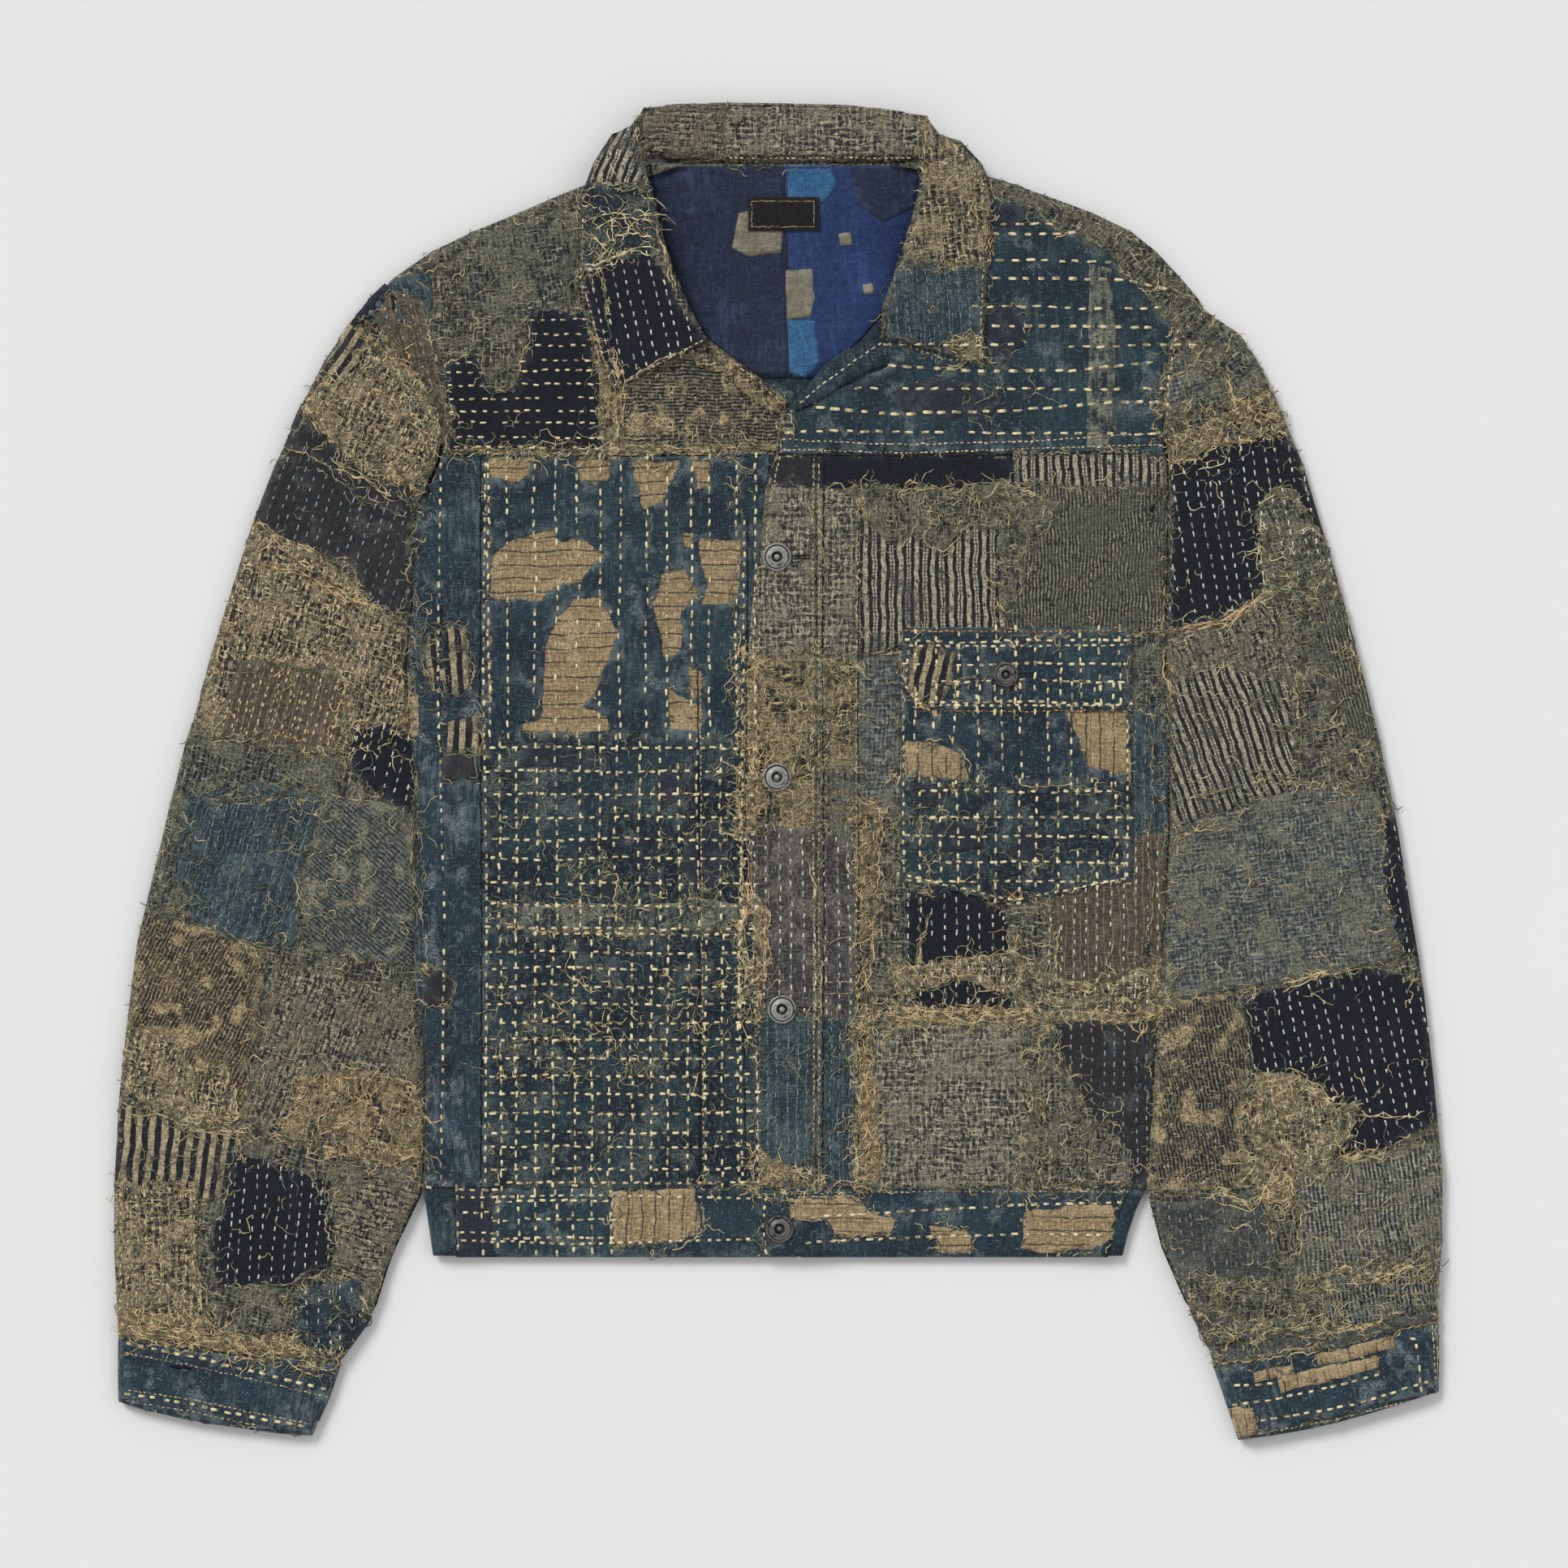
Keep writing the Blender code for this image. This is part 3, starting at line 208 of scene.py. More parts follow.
# region, then: cloth, tilt of the warp in degrees, stitch rows, layer, fraying, outline
PATCHES = (
    ("body", (
        # wearer's right yoke
        ("tweed", 0, "plain", 0, 0.5,
         (-117, 334, -150, 326, -178, 318, -206, 304, -228, 290, -246, 264, -214, 236, -200, 214, -196, 189,
          -94, 189, -97, 240, -104, 290)),
        ("tweed_blue", 8, "plain", 1, 0.3, (-126, 330, -176, 316, -190, 276, -150, 262, -122, 276)),
        ("teal", 20, "plain", 1, 0.4, (-226, 292, -206, 296, -204, 272, -226, 262, -240, 270)),
        ("brown", 12, "small", 1, 0.7,
         (-226, 286, -210, 280, -203, 250, -196, 222, -196, 196, -212, 204, -222, 238, -240, 262)),
        ("navy", 0, "across", 1, 0.6,
         (-148, 273, -115, 270, -108, 238, -103, 215, -104, 190, -192, 190, -197, 242, -178, 244, -172, 224,
          -156, 225, -152, 238, -145, 254)),
        ("tan_fray", 4, "plain", 2, 0.9, (-108, 256, -97, 256, -93, 189, -102, 189, -106, 220)),
        ("rib", 90, "plain", 1, 0.5,
         (-98, 226, -76, 240, -52, 250, -34, 244, -8, 226, 5, 213, -2, 189, -101, 189)),
        # wearer's left yoke
        ("indigo", 0, "bold_across", 0, 0.15,
         (120, 345, 148, 333, 190, 310, 214, 286, 233, 264, 246, 252, 228, 232, 227, 208, 229, 188, 0, 188,
          3, 206, 10, 212, 36, 226, 66, 240, 62, 258, 84, 268, 112, 272, 116, 300)),
        ("tweed", -40, "plain", 1, 0.6,
         (121, 355, 150, 342, 178, 330, 213, 306, 238, 284, 256, 266, 243, 253, 231, 266, 212, 288,
          188, 311, 147, 333, 124, 343)),
        ("twill", 30, "plain", 1, 0.3, (66, 224, 92, 232, 116, 230, 132, 222, 130, 212, 100, 209, 72, 213)),
        ("twill", 30, "plain", 1, 0.5, (122, 273, 140, 276, 148, 266, 146, 252, 134, 246, 122, 248)),
        ("twill", 30, "plain", 1, 0.4, (124, 338, 142, 333, 149, 326, 138, 322, 125, 324)),
        ("faded_band", 0, "plain", 1, 0.2, (183, 300, 197, 296, 200, 252, 196, 190, 182, 190, 184, 250)),
        ("stripe", 90, "plain", 2, 0.5, (-1, 209, 9, 207, 9, 199, 0, 200)),
        # side panel and right front
        ("indigo_faded", 0, "plain", 0, 0.3,
         (-199, 187, -172, 187, -171, -246, -211, -246, -214, -168, -219, -74, -218, 60, -221, 91,
          -219, 140, -214, 166)),
        ("stripe_bold", 4, "plain", 1, 0.7,
         (-207, 82, -192, 86, -184, 84, -182, 56, -186, 46, -204, 48, -209, 62)),
        ("stripe_bold", 0, "plain", 1, 0.6, (-198, 29, -176, 33, -172, 20, -175, 10, -196, 10)),
        ("charcoal", 0, "plain", 1, 0.5, (-198, 10, -178, 10, -176, -4, -196, -6)),
        ("khaki", 90, "plain", 1, 0.4, (-219, 44, -213, 45, -212, 20, -218, 18)),
        ("charcoal", 0, "plain", 1, 0.7, (-210, -117, -198, -114, -190, -124, -194, -140, -208, -138)),
        ("khaki", 0, "plain", 0, 0.1, (-172, 188, -7, 188, -8, 22, -172, 22)),
        ("indigo", 0, "down", 1, 0.35, CHEST_PATCH),
        ("indigo_dark", 0, "grid", 1, 0.3, (-173, 22, -12, 22, -13, -96, -173, -98)),
        ("indigo_dark", 0, "close_grid", 1, 0.3, (-173, -96, -13, -94, -10, -246, -173, -246)),
        ("twill", 40, "plain", 2, 0.3, (-151, 17, -120, 16, -121, 3, -149, 2)),
        ("twill", 40, "plain", 2, 0.3, (-115, 16, -107, 15, -108, 2, -114, 4)),
        ("twill", 40, "plain", 2, 0.5, (-74, 0, -58, 2, -56, -18, -72, -22)),
        ("twill", 40, "plain", 2, 0.7, (-52, -34, -36, -30, -28, -48, -34, -66, -48, -72, -56, -56)),
        ("twill", 40, "plain", 2, 0.7, (-106, -62, -96, -60, -94, -84, -104, -86)),
        ("twill", 40, "plain", 2, 0.6, (-76, -58, -66, -56, -66, -74, -76, -72)),
        ("faded_band", 0, "plain", 2, 0.5, (-164, -80, -90, -78, -18, -76, -18, -92, -96, -97, -164, -95)),
        # left front
        ("navy", 0, "plain", 1, 0.3, (22, 187, 140, 187, 140, 168, 22, 167)),
        ("stripe", 2, "plain", 1, 0.5, (139, 189, 229, 189, 229, 166, 140, 167)),
        ("tweed", 0, "plain", 2, 0.8,
         (46, 172, 90, 166, 134, 172, 146, 160, 134, 140, 112, 148, 98, 130, 80, 142, 66, 134, 52, 146)),
        ("stripe", 0, "plain", 1, 0.4, (46, 168, 134, 168, 136, 72, 74, 74, 46, 66)),
        ("fine_stripe", 0, "plain", 1, 0.6, (133, 168, 230, 168, 229, 80, 134, 80)),
        ("tweed", 0, "plain", 2, 0.9,
         (128, 160, 146, 164, 168, 158, 160, 144, 146, 132, 144, 110, 138, 92, 130, 96, 132, 130)),
        ("check", 0, "plain", 0, 0.5, box(20, 168, 47, 66)),
        ("olive", 0, "plain", 0, 0.6, box(20, 67, 47, 2)),
        ("tweed_blue", 0, "plain", 0, 0.4, box(20, 4, 46, -40)),
        ("plum", 0, "down_pale", 0, 0.5, box(20, -38, 46, -144)),
        ("teal", 0, "hair", 0, 0.5, box(20, -143, 46, -246)),
        ("fine_check", 0, "plain", 1, 0.5, (46, 68, 72, 70, 73, -26, 46, -26)),
        ("tan_fray", 0, "plain", 2, 0.9, (45, -16, 58, -20, 57, -92, 47, -100)),
        ("tweed", 0, "plain", 1, 0.8, (56, -24, 80, -28, 90, -66, 78, -142, 48, -142, 56, -90)),
        ("tweed_blue", 0, "plain", 1, 0.5, (206, 84, 229, 84, 230, 34, 206, 36)),
        ("teal", 0, "hair", 1, 0.4, box(206, 38, 230, -40)),
        ("brown", 0, "down_pale", 1, 0.5, (160, -74, 178, -70, 206, -40, 229, -36, 226, -142, 154, -142)),
        ("navy", 0, "down_pale", 1, 0.6, (76, -70, 104, -68, 138, -84, 141, -142, 74, -142)),
        ("tweed", 0, "plain", 2, 0.9, (134, -78, 160, -76, 164, -112, 158, -144, 140, -144, 137, -110)),
        ("tan_gauze", 0, "plain", 2, 1.0,
         (66, -116, 96, -112, 138, -106, 146, -120, 188, -124, 228, -112, 226, -134, 180, -136, 140, -134,
          104, -124, 70, -130)),
        ("tan_fray", 90, "plain", 2, 1.0, (46, -140, 120, -142, 228, -140, 228, -147, 120, -149, 46, -150)),
        ("check", 0, "plain", 1, 0.5, box(46, -146, 160, -246)),
        ("tan_fray", 0, "plain", 2, 0.9, (44, -150, 57, -156, 58, -244, 45, -244)),
        ("charcoal", 0, "down_mist", 1, 0.5, (154, -146, 226, -146, 219, -246, 154, -246)),
        ("tweed", 0, "plain", 2, 1.0,
         (152, -146, 166, -150, 170, -176, 182, -200, 206, -226, 208, -246, 138, -246, 150, -214,
          146, -180)),
    )),
    ("placket", (
        # placket
        ("charcoal", 0, "plain", 0, 0.3, (-8, 215, 26, 215, 26, 167, -20, 167)),
        ("check", 0, "plain", 0, 0.5, box(-24, 168, 26, 66)),
        ("olive", 0, "plain", 0, 0.8, box(-24, 67, 26, -34)),
        ("tan_fray", 0, "plain", 1, 1.0, (-23, 70, -13, 66, -14, -34, -24, -38)),
        ("plum", 0, "down_pale", 0, 0.5, box(-22, -32, 26, -144)),
        ("tan_fray", 0, "plain", 1, 1.0, (-22, -70, -8, -84, -6, -116, -14, -140, -21, -142)),
        ("teal", 0, "hair", 0, 0.4, box(-18, -143, 26, -246)),
        ("tan_fray", 0, "plain", 1, 0.9, (-14, -222, -6, -226, 8, -236, 26, -238, 26, -248, -16, -248)),
    )),
    ("pocket", (
        # pocket and flap
        ("khaki", 90, "plain", 0, 0.2, box(72, 50, 208, -8)),
        ("indigo", 0, "down", 1, 0.5,
         (71, 52, 209, 52, 209, 34, 190, 38, 168, 34, 176, 20, 184, 2, 209, -2, 209, -8, 71, -8, 71, -4,
          112, -5, 108, 10, 94, 18, 71, 19)),
        ("indigo_dark", 0, "grid", 1, 0.4, (71, -5, 209, -5, 209, -66, 140, -79, 71, -64)),
        ("twill", 40, "plain", 2, 0.5, (76, -8, 100, -8, 98, -22, 80, -22)),
        ("twill", 40, "plain", 2, 0.5, (90, -30, 120, -30, 122, -46, 96, -48)),
        ("twill", 40, "plain", 2, 0.5, (140, -34, 164, -34, 160, -54, 138, -52)),
    )),
    ("pocket_flap", (
        ("indigo", 0, "grid", 0, 0.4, (72, 86, 209, 86, 208, 34, 84, 34, 72, 48)),
        ("stripe_bold", -12, "plain", 1, 0.6, (79, 74, 90, 76, 103, 70, 102, 52, 96, 37, 86, 37, 77, 50)),
        ("indigo", 10, "plain", 1, 0.3, (108, 74, 124, 74, 126, 40, 108, 40)),
    )),
    ("band", (
        # waistband
        ("twill", 0, "grid", 0, 0.4, box(-214, -245, -167, -288)),
        ("indigo", 0, "close_grid", 0, 0.4, box(-168, -245, -96, -288)),
        ("khaki", 90, "plain", 0, 0.7, (-98, -246, -46, -246, -44, -270, -58, -281, -98, -281)),
        ("indigo", 0, "plain", 1, 0.6,
         (-48, -245, -10, -245, -10, -288, -98, -288, -98, -281, -62, -279, -46, -270)),
        ("indigo", 0, "plain", 0, 0.3, (-13, -245, 219, -245, 216, -290, -13, -290)),
        ("khaki", 0, "plain", 1, 0.6,
         (6, -252, 44, -250, 54, -260, 70, -264, 66, -274, 34, -274, 28, -265, 8, -264)),
        ("khaki", 0, "plain", 1, 0.7, (88, -270, 112, -268, 116, -282, 94, -284)),
        ("khaki", 0, "plain", 1, 0.7, (144, -260, 170, -256, 202, -258, 204, -274, 186, -283, 144, -283)),
    )),
    ("sleeve_right", (
        # wearer's right sleeve, from the shoulder down
        ("tweed", -14, "plain", 0, 0.4,
         (-232, 262, -206, 226, -206, 160, -212, 60, -208, -60, -206, -160, -208, -236, -244, -320,
          -258, -348, -392, -336, -394, -250, -392, -180, -380, -90, -356, -6, -330, 90, -304, 170,
          -272, 236, -254, 264)),
        ("stripe_bold", -36, "plain", 1, 0.5, (-254, 266, -242, 262, -236, 250, -262, 222, -276, 226)),
        ("tan_gauze", -24, "gauze", 1, 0.7,
         (-236, 256, -211, 231, -199, 197, -206, 172, -240, 174, -266, 196, -278, 214, -272, 230,
          -258, 228)),
        ("charcoal", 60, "plain", 2, 1.0,
         (-282, 214, -268, 200, -240, 178, -214, 168, -216, 150, -240, 158, -266, 178, -294, 192)),
        ("charcoal", -18, "down_mist", 1, 0.6,
         (-292, 196, -256, 182, -220, 162, -214, 150, -216, 92, -246, 100, -250, 122, -270, 128,
          -312, 146)),
        ("tan_gauze", -16, "gauze", 1, 0.7,
         (-314, 146, -270, 128, -236, 96, -218, 84, -216, 20, -250, 10, -330, 22, -344, 30)),
        ("brown", -14, "small", 2, 0.7,
         (-317, 66, -286, 64, -258, 54, -258, 22, -277, 12, -308, 12, -329, 23, -324, 48)),
        ("navy", -14, "down_pale", 2, 0.7, (-254, 24, -232, 28, -214, 20, -214, -26, -232, -20, -250, 2)),
        ("tweed_blue", -14, "plain", 1, 0.7,
         (-350, 22, -256, 8, -262, -14, -350, -16, -364, -50, -370, -84, -352, -84, -346, -40, -356, 0)),
        ("teal", -16, "hair", 2, 0.6,
         (-350, -14, -308, -5, -266, -15, -276, -41, -281, -60, -286, -104, -308, -104, -346, -90,
          -356, -60)),
        ("rib_blue", 50, "plain", 1, 0.6,
         (-268, -12, -216, -24, -208, -118, -240, -112, -280, -104, -282, -60)),
        ("rib_brown", -26, "plain", 1, 0.6,
         (-377, -84, -340, -91, -308, -105, -302, -120, -312, -168, -314, -206, -342, -209, -390, -187)),
        ("tan_gauze", -10, "gauze", 2, 0.9,
         (-388, -150, -364, -150, -344, -172, -322, -176, -318, -206, -346, -208, -388, -190)),
        ("stripe_rough", -20, "plain", 1, 0.7,
         (-296, -112, -216, -132, -210, -170, -214, -206, -300, -216, -316, -204, -306, -160)),
        ("tan_fray", -14, "plain", 2, 0.9,
         (-284, -182, -250, -176, -212, -186, -212, -230, -240, -232, -262, -226, -294, -212)),
        ("stripe_bold", -6, "plain", 1, 0.6,
         (-392, -196, -342, -210, -318, -214, -322, -246, -340, -254, -393, -248)),
        ("tan_gauze", 0, "gauze", 1, 0.7, (-393, -238, -344, -242, -342, -300, -336, -328, -391, -328)),
        ("navy", -4, "down_fine", 2, 0.8,
         (-322, -226, -300, -232, -264, -240, -262, -290, -280, -300, -330, -306, -336, -280)),
        ("stripe_rough", 78, "plain", 1, 0.7, (-268, -232, -208, -236, -226, -280, -240, -322, -262, -316)),
        ("indigo_dark", 0, "down_fine", 2, 0.7,
         (-284, -304, -246, -300, -238, -330, -256, -348, -272, -342, -284, -330)),
        ("tan_fray", -80, "plain", 2, 1.0,
         (-392, -318, -356, -322, -300, -336, -258, -344, -257, -354, -300, -346, -352, -336, -392, -331)),
    )),
    ("cuff_right", (
        ("indigo_faded", -10, "plain", 0, 0.5,
         (-393, -334, -330, -342, -256, -350, -256, -366, -276, -394, -330, -386, -392, -374)),
    )),
    ("sleeve_left", (
        # wearer's left sleeve
        ("tweed", 14, "plain", 0, 0.4,
         (250, 270, 262, 268, 290, 238, 320, 160, 350, 60, 378, -90, 392, -180, 394, -280, 391, -320,
          252, -340, 236, -300, 214, -240, 218, -180, 226, -60, 228, 60, 226, 190, 226, 240)),
        ("tweed_blue", 30, "plain", 1, 0.8, (246, 264, 262, 268, 280, 250, 290, 228, 272, 218, 258, 238)),
        ("fine_check", 12, "plain", 1, 0.6, (228, 246, 246, 250, 254, 224, 240, 206, 228, 214)),
        ("tan_fray", 70, "plain", 2, 1.0,
         (228, 196, 256, 206, 286, 222, 306, 226, 308, 208, 292, 196, 262, 194, 232, 184)),
        ("navy", 10, "down_pale", 1, 0.6,
         (230, 190, 262, 198, 296, 202, 314, 180, 326, 150, 338, 110, 316, 112, 284, 106, 262, 90,
          230, 82)),
        ("tweed", 20, "plain", 2, 0.9,
         (282, 152, 294, 170, 306, 168, 314, 148, 326, 130, 330, 108, 290, 106, 284, 124)),
        ("stripe_rough", 18, "plain", 1, 0.8, (230, 82, 262, 90, 284, 106, 310, 106, 308, 40, 230, 46)),
        ("stripe", 20, "plain", 2, 0.6, (230, 50, 262, 66, 302, 50, 306, 0, 300, -12, 232, -34)),
        ("tweed", 14, "plain", 1, 0.8, (290, 112, 330, 112, 344, 60, 350, 20, 350, -8, 308, -4, 306, 60)),
        ("fine_stripe", 14, "plain", 2, 0.7, (318, 100, 336, 100, 352, 40, 358, 18, 338, 22, 322, 60)),
        ("fine_check", 8, "plain", 1, 0.7,
         (230, -18, 300, -4, 356, -12, 360, -60, 364, -112, 300, -124, 226, -134)),
        ("navy", 12, "down_fine", 2, 0.6, (357, -30, 368, -26, 384, -110, 370, -108, 360, -76)),
        ("rib", 10, "plain", 1, 0.6, (222, -136, 270, -130, 278, -160, 274, -200, 276, -246, 218, -248)),
        ("navy", 12, "down_pale", 1, 0.8,
         (274, -134, 314, -122, 352, -116, 388, -128, 392, -206, 352, -228, 300, -234, 284, -190)),
        ("tan_gauze", 8, "plain", 2, 1.0,
         (284, -176, 306, -180, 330, -200, 344, -196, 336, -212, 326, -228, 300, -240, 280, -244)),
        ("tan_fray", 4, "plain", 2, 1.0, (281, -187, 297, -186, 306, -252, 290, -256)),
        ("pale_stripe", 6, "plain", 1, 0.6, (308, -232, 394, -222, 393, -288, 350, -300, 306, -306)),
        ("grey", 4, "down_mist", 1, 0.6, (222, -256, 288, -248, 294, -302, 240, -312)),
        ("tweed", 0, "plain", 2, 0.8,
         (238, -298, 290, -300, 388, -284, 392, -306, 340, -316, 320, -328, 250, -336)),
    )),
    ("cuff_left", (
        ("indigo_faded", 14, "plain", 0, 0.5,
         (252, -338, 330, -330, 390, -316, 391, -366, 330, -380, 270, -396, 262, -372)),
    )),
    ("sleeve_left", (
        ("navy_rib", 8, "plain", 3, 0.8, (322, -300, 392, -288, 392, -318, 350, -326, 324, -324)),
        ("grey", 4, "hair", 3, 0.8,
         (240, -318, 270, -325, 300, -322, 326, -326, 336, -334, 300, -346, 254, -350)),
    )),
    ("cuff_left", (
        ("grey", 4, "plain", 2, 0.8,
         (250, -332, 300, -332, 340, -325, 386, -314, 390, -325, 350, -333, 304, -344, 256, -353)),
        ("khaki", 100, "plain", 1, 0.4, (316, -344, 340, -338, 363, -333, 364, -339, 342, -345, 318, -351)),
        ("khaki", 100, "plain", 1, 0.4, (295, -359, 324, -351, 353, -344, 354, -352, 326, -360, 297, -368)),
        ("khaki", 100, "plain", 1, 0.4, (279, -356, 304, -351, 305, -357, 281, -362)),
        ("khaki", 100, "plain", 1, 0.6, (265, -376, 279, -376, 282, -392, 271, -395)),
    )),
    ("armhole_right", (
        # over the armhole seams
        ("navy", -36, "plain", 1, 0.3,
         (-253, 265, -243, 277, -232, 288, -224, 282, -229, 262, -231, 247, -240, 254)),
        ("brown", -30, "plain", 1, 0.7,
         (-234, 262, -226, 268, -208, 240, -196, 214, -194, 194, -204, 190, -212, 208, -226, 236)),
    )),
    ("armhole_left", (
        ("tweed", 36, "plain", 1, 0.8,
         (259, 263, 250, 273, 238, 266, 229, 248, 224, 226, 225, 198, 233, 194, 238, 216, 243, 236,
          252, 252)),
    )),
    ("collar", (
        # collar, front leaves and the back of the stand
        ("navy", 13, "down_pale", 0, 0.3,
         (-118, 296, -78, 312, -66, 292, -58, 276, -46, 258, -40, 252, -76, 236, -98, 223, -106, 246)),
        ("indigo_dark", 60, "plain", 1, 1.0, (-116, 346, -76, 342, -70, 316, -78, 306, -118, 292)),
        ("stripe", -22, "plain", 0, 0.4, (-90, 382, -80, 380, -80, 360, -75, 338, -116, 343, -106, 364)),
        ("stripe_rough", 88, "plain", 0, 0.5, (-80, 392, -31, 396, -31, 360, -79, 360)),
        ("check", 90, "plain", 0, 0.5, (-32, 396, 20, 396, 88, 390, 86, 360, -32, 360)),
        ("tan_gauze", 6, "plain", 0, 0.6,
         (86, 388, 96, 378, 108, 366, 126, 352, 126, 300, 122, 296, 72, 298, 78, 318, 84, 340)),
        ("teal", 4, "hair", 0, 0.6, (70, 300, 123, 300, 123, 240, 102, 240, 86, 246, 62, 254)),
        ("tan_fray", 0, "plain", 1, 1.0, (100, 256, 116, 258, 120, 244, 104, 242)),
    )),
    ("lining", (
        # printed lining: plain blocks in a layout of its own
        ("lining_teal", 3, "plain", 0, 0.0, (6, 360, 30, 360, 34, 348, 26, 336, 6, 338)),
        ("lining_navy", 3, "plain", 0, 0.0, (42, 360, 84, 360, 80, 332, 62, 324, 46, 336)),
        ("lining_beige", 0, "plain", 0, 0.0, (-24, 330, -4, 333, 3, 322, 2, 306, -16, 304, -27, 310)),
        ("lining_beige", 4, "plain", 0, 0.0, (5, 296, 20, 298, 22, 280, 18, 268, 5, 266)),
        ("lining_teal", 4, "plain", 0, 0.0, (5, 266, 21, 266, 24, 242, 16, 232, 6, 236)),
        ("lining_beige", 0, "plain", 1, 0.0, (36, 318, 43, 319, 44, 312, 37, 311)),
        ("lining_beige", 0, "plain", 1, 0.0, (50, 288, 56, 289, 57, 283, 51, 282)),
        ("lining_navy", 0, "plain", 0, 0.0, (-74, 352, -50, 354, -46, 330, -62, 322, -72, 332)),
    )),
)

# Torn holes in the blue chest patch, through which the khaki under it shows.
CHEST_HOLES = (
    (-170, 185, -145, 185, -147, 175, -158, 171, -170, 174),
    (-119, 184, -99, 184, -100, 172, -110, 169, -118, 172),
    (-87, 184, -58, 185, -60, 172, -68, 160, -80, 155, -84, 170),
    (-50, 184, -40, 184, -41, 168, -48, 166),
    (-171, 102, -170, 127, -156, 136, -134, 144, -129, 136, -115, 138, -101, 130, -110, 121, -115, 112,
     -134, 108, -142, 101),
    (-120, 102, -104, 102, -95, 83, -104, 61, -108, 47, -115, 39, -101, 31, -100, 23, -151, 23, -151, 28,
     -141, 31, -140, 50, -134, 77, -132, 91),
    (-57, 142, -50, 141, -50, 133, -57, 134),
    (-45, 138, -23, 137, -22, 100, -44, 98),
    (-70, 116, -57, 119, -48, 105, -57, 91, -58, 69, -67, 66, -71, 88, -74, 100),
    (-53, 63, -46, 60, -46, 44, -52, 42),
    (-65, 50, -60, 45, -45, 38, -44, 24, -64, 25),
)

# Creases pressed and pulled into the cloth: x and y of both ends, half width, height, sideways bow
CREASES = (
    (-236, 236, -214, 168, 7, 1.6, 5), (-250, 206, -224, 120, 9, -1.4, -6),
    (-300, 150, -262, 90, 10, 1.5, 5), (-222, 70, -296, 34, 8, 1.7, 4), (-218, 22, -300, -24, 9, -1.5, 5),
    (-216, -18, -262, -52, 7, 1.6, -3), (-340, 20, -352, -70, 10, 1.3, 6),
    (-300, -60, -322, -150, 9, -1.2, 8), (-216, -96, -270, -128, 8, 1.7, 4),
    (-214, -150, -282, -190, 9, -1.6, 5), (-224, -214, -312, -236, 8, 1.6, 6),
    (-366, -150, -374, -232, 9, 1.4, -5), (-338, -236, -344, -312, 8, -1.3, 4),
    (-262, -262, -284, -318, 7, 1.4, 4), (-300, -298, -286, -346, 6, 1.3, 2),
    (-366, -300, -362, -352, 7, -1.2, 2), (236, 222, 232, 150, 8, 1.6, -4),
    (256, 206, 276, 130, 10, -1.3, 6), (296, 176, 318, 96, 9, 1.4, -5), (234, 84, 292, 40, 9, 1.6, -5),
    (232, 34, 284, -8, 8, -1.5, 3), (330, 60, 342, -30, 9, 1.3, -6), (230, -40, 300, -76, 10, 1.7, 5),
    (226, -96, 280, -136, 8, -1.6, -4), (340, -60, 352, -140, 9, 1.4, 5), (222, -172, 292, -196, 9, 1.6, 4),
    (226, -236, 306, -252, 8, -1.4, 5), (366, -180, 372, -262, 9, 1.3, -4),
    (300, -252, 292, -322, 7, 1.4, 3), (340, -270, 334, -340, 7, -1.2, -3),
    (262, -304, 276, -350, 6, 1.3, 2), (-196, 176, -188, 96, 9, 1.4, 4), (-206, 30, -186, -60, 8, -1.2, -4),
    (-204, -110, -196, -210, 8, 1.2, 3), (-150, 92, -96, 70, 7, 1.0, -4), (-90, 150, -84, 60, 6, 0.9, 3),
    (-64, -110, -40, -236, 6, 1.8, 3), (-34, -120, -24, -238, 5, -1.8, -2),
    (-150, -120, -60, -132, 7, 1.0, 4), (-140, -190, -50, -204, 7, -1.0, 3),
    (-170, 240, -130, 206, 8, 1.2, 4), (-190, 296, -140, 262, 9, -1.1, 5), (-84, 222, -30, 206, 7, 1.0, 3),
    (60, 226, 120, 200, 7, 1.2, -4), (150, 310, 176, 236, 9, 1.2, 5), (206, 268, 196, 204, 9, -1.3, -4),
    (120, 250, 190, 240, 7, 1.0, 4), (150, 160, 196, 96, 8, 1.3, 5), (96, 160, 104, 90, 6, -1.0, 3),
    (64, 60, 60, -24, 6, 1.2, -2), (206, 60, 220, -24, 7, 1.4, 3), (190, -60, 214, -132, 8, -1.2, -4),
    (90, -90, 150, -120, 7, 1.1, 5), (70, -160, 66, -232, 6, 1.2, 2), (120, -170, 132, -236, 8, -1.0, 4),
    (180, -160, 172, -236, 8, 1.3, -4), (34, -60, 36, -130, 5, 1.0, 1), (0, 60, 2, 0, 5, 0.7, 1),
)
# The same for the side that lies down, which only lifts off the floor.
UNDER_CREASES = (
    (-150, 250, -60, 150, 12, 1.6, 8), (150, 250, 70, 140, 12, 1.5, -8), (-20, 300, 10, 40, 10, 1.2, 6),
    (-170, 60, -120, -150, 12, 1.5, 8), (160, 40, 130, -170, 12, 1.6, -8), (-60, -20, -40, -220, 9, 1.2, 4),
    (60, -30, 50, -220, 9, 1.1, -4), (-300, 100, -250, 20, 9, 1.3, 5), (-350, -60, -260, -120, 9, 1.2, 5),
    (-370, -200, -280, -250, 9, 1.3, 4), (300, 90, 250, 10, 9, 1.3, -5), (350, -70, 260, -130, 9, 1.2, -5),
    (370, -210, 280, -260, 9, 1.3, -4),
)

# ---------------------------------------------------------------- unevenness of worn cloth


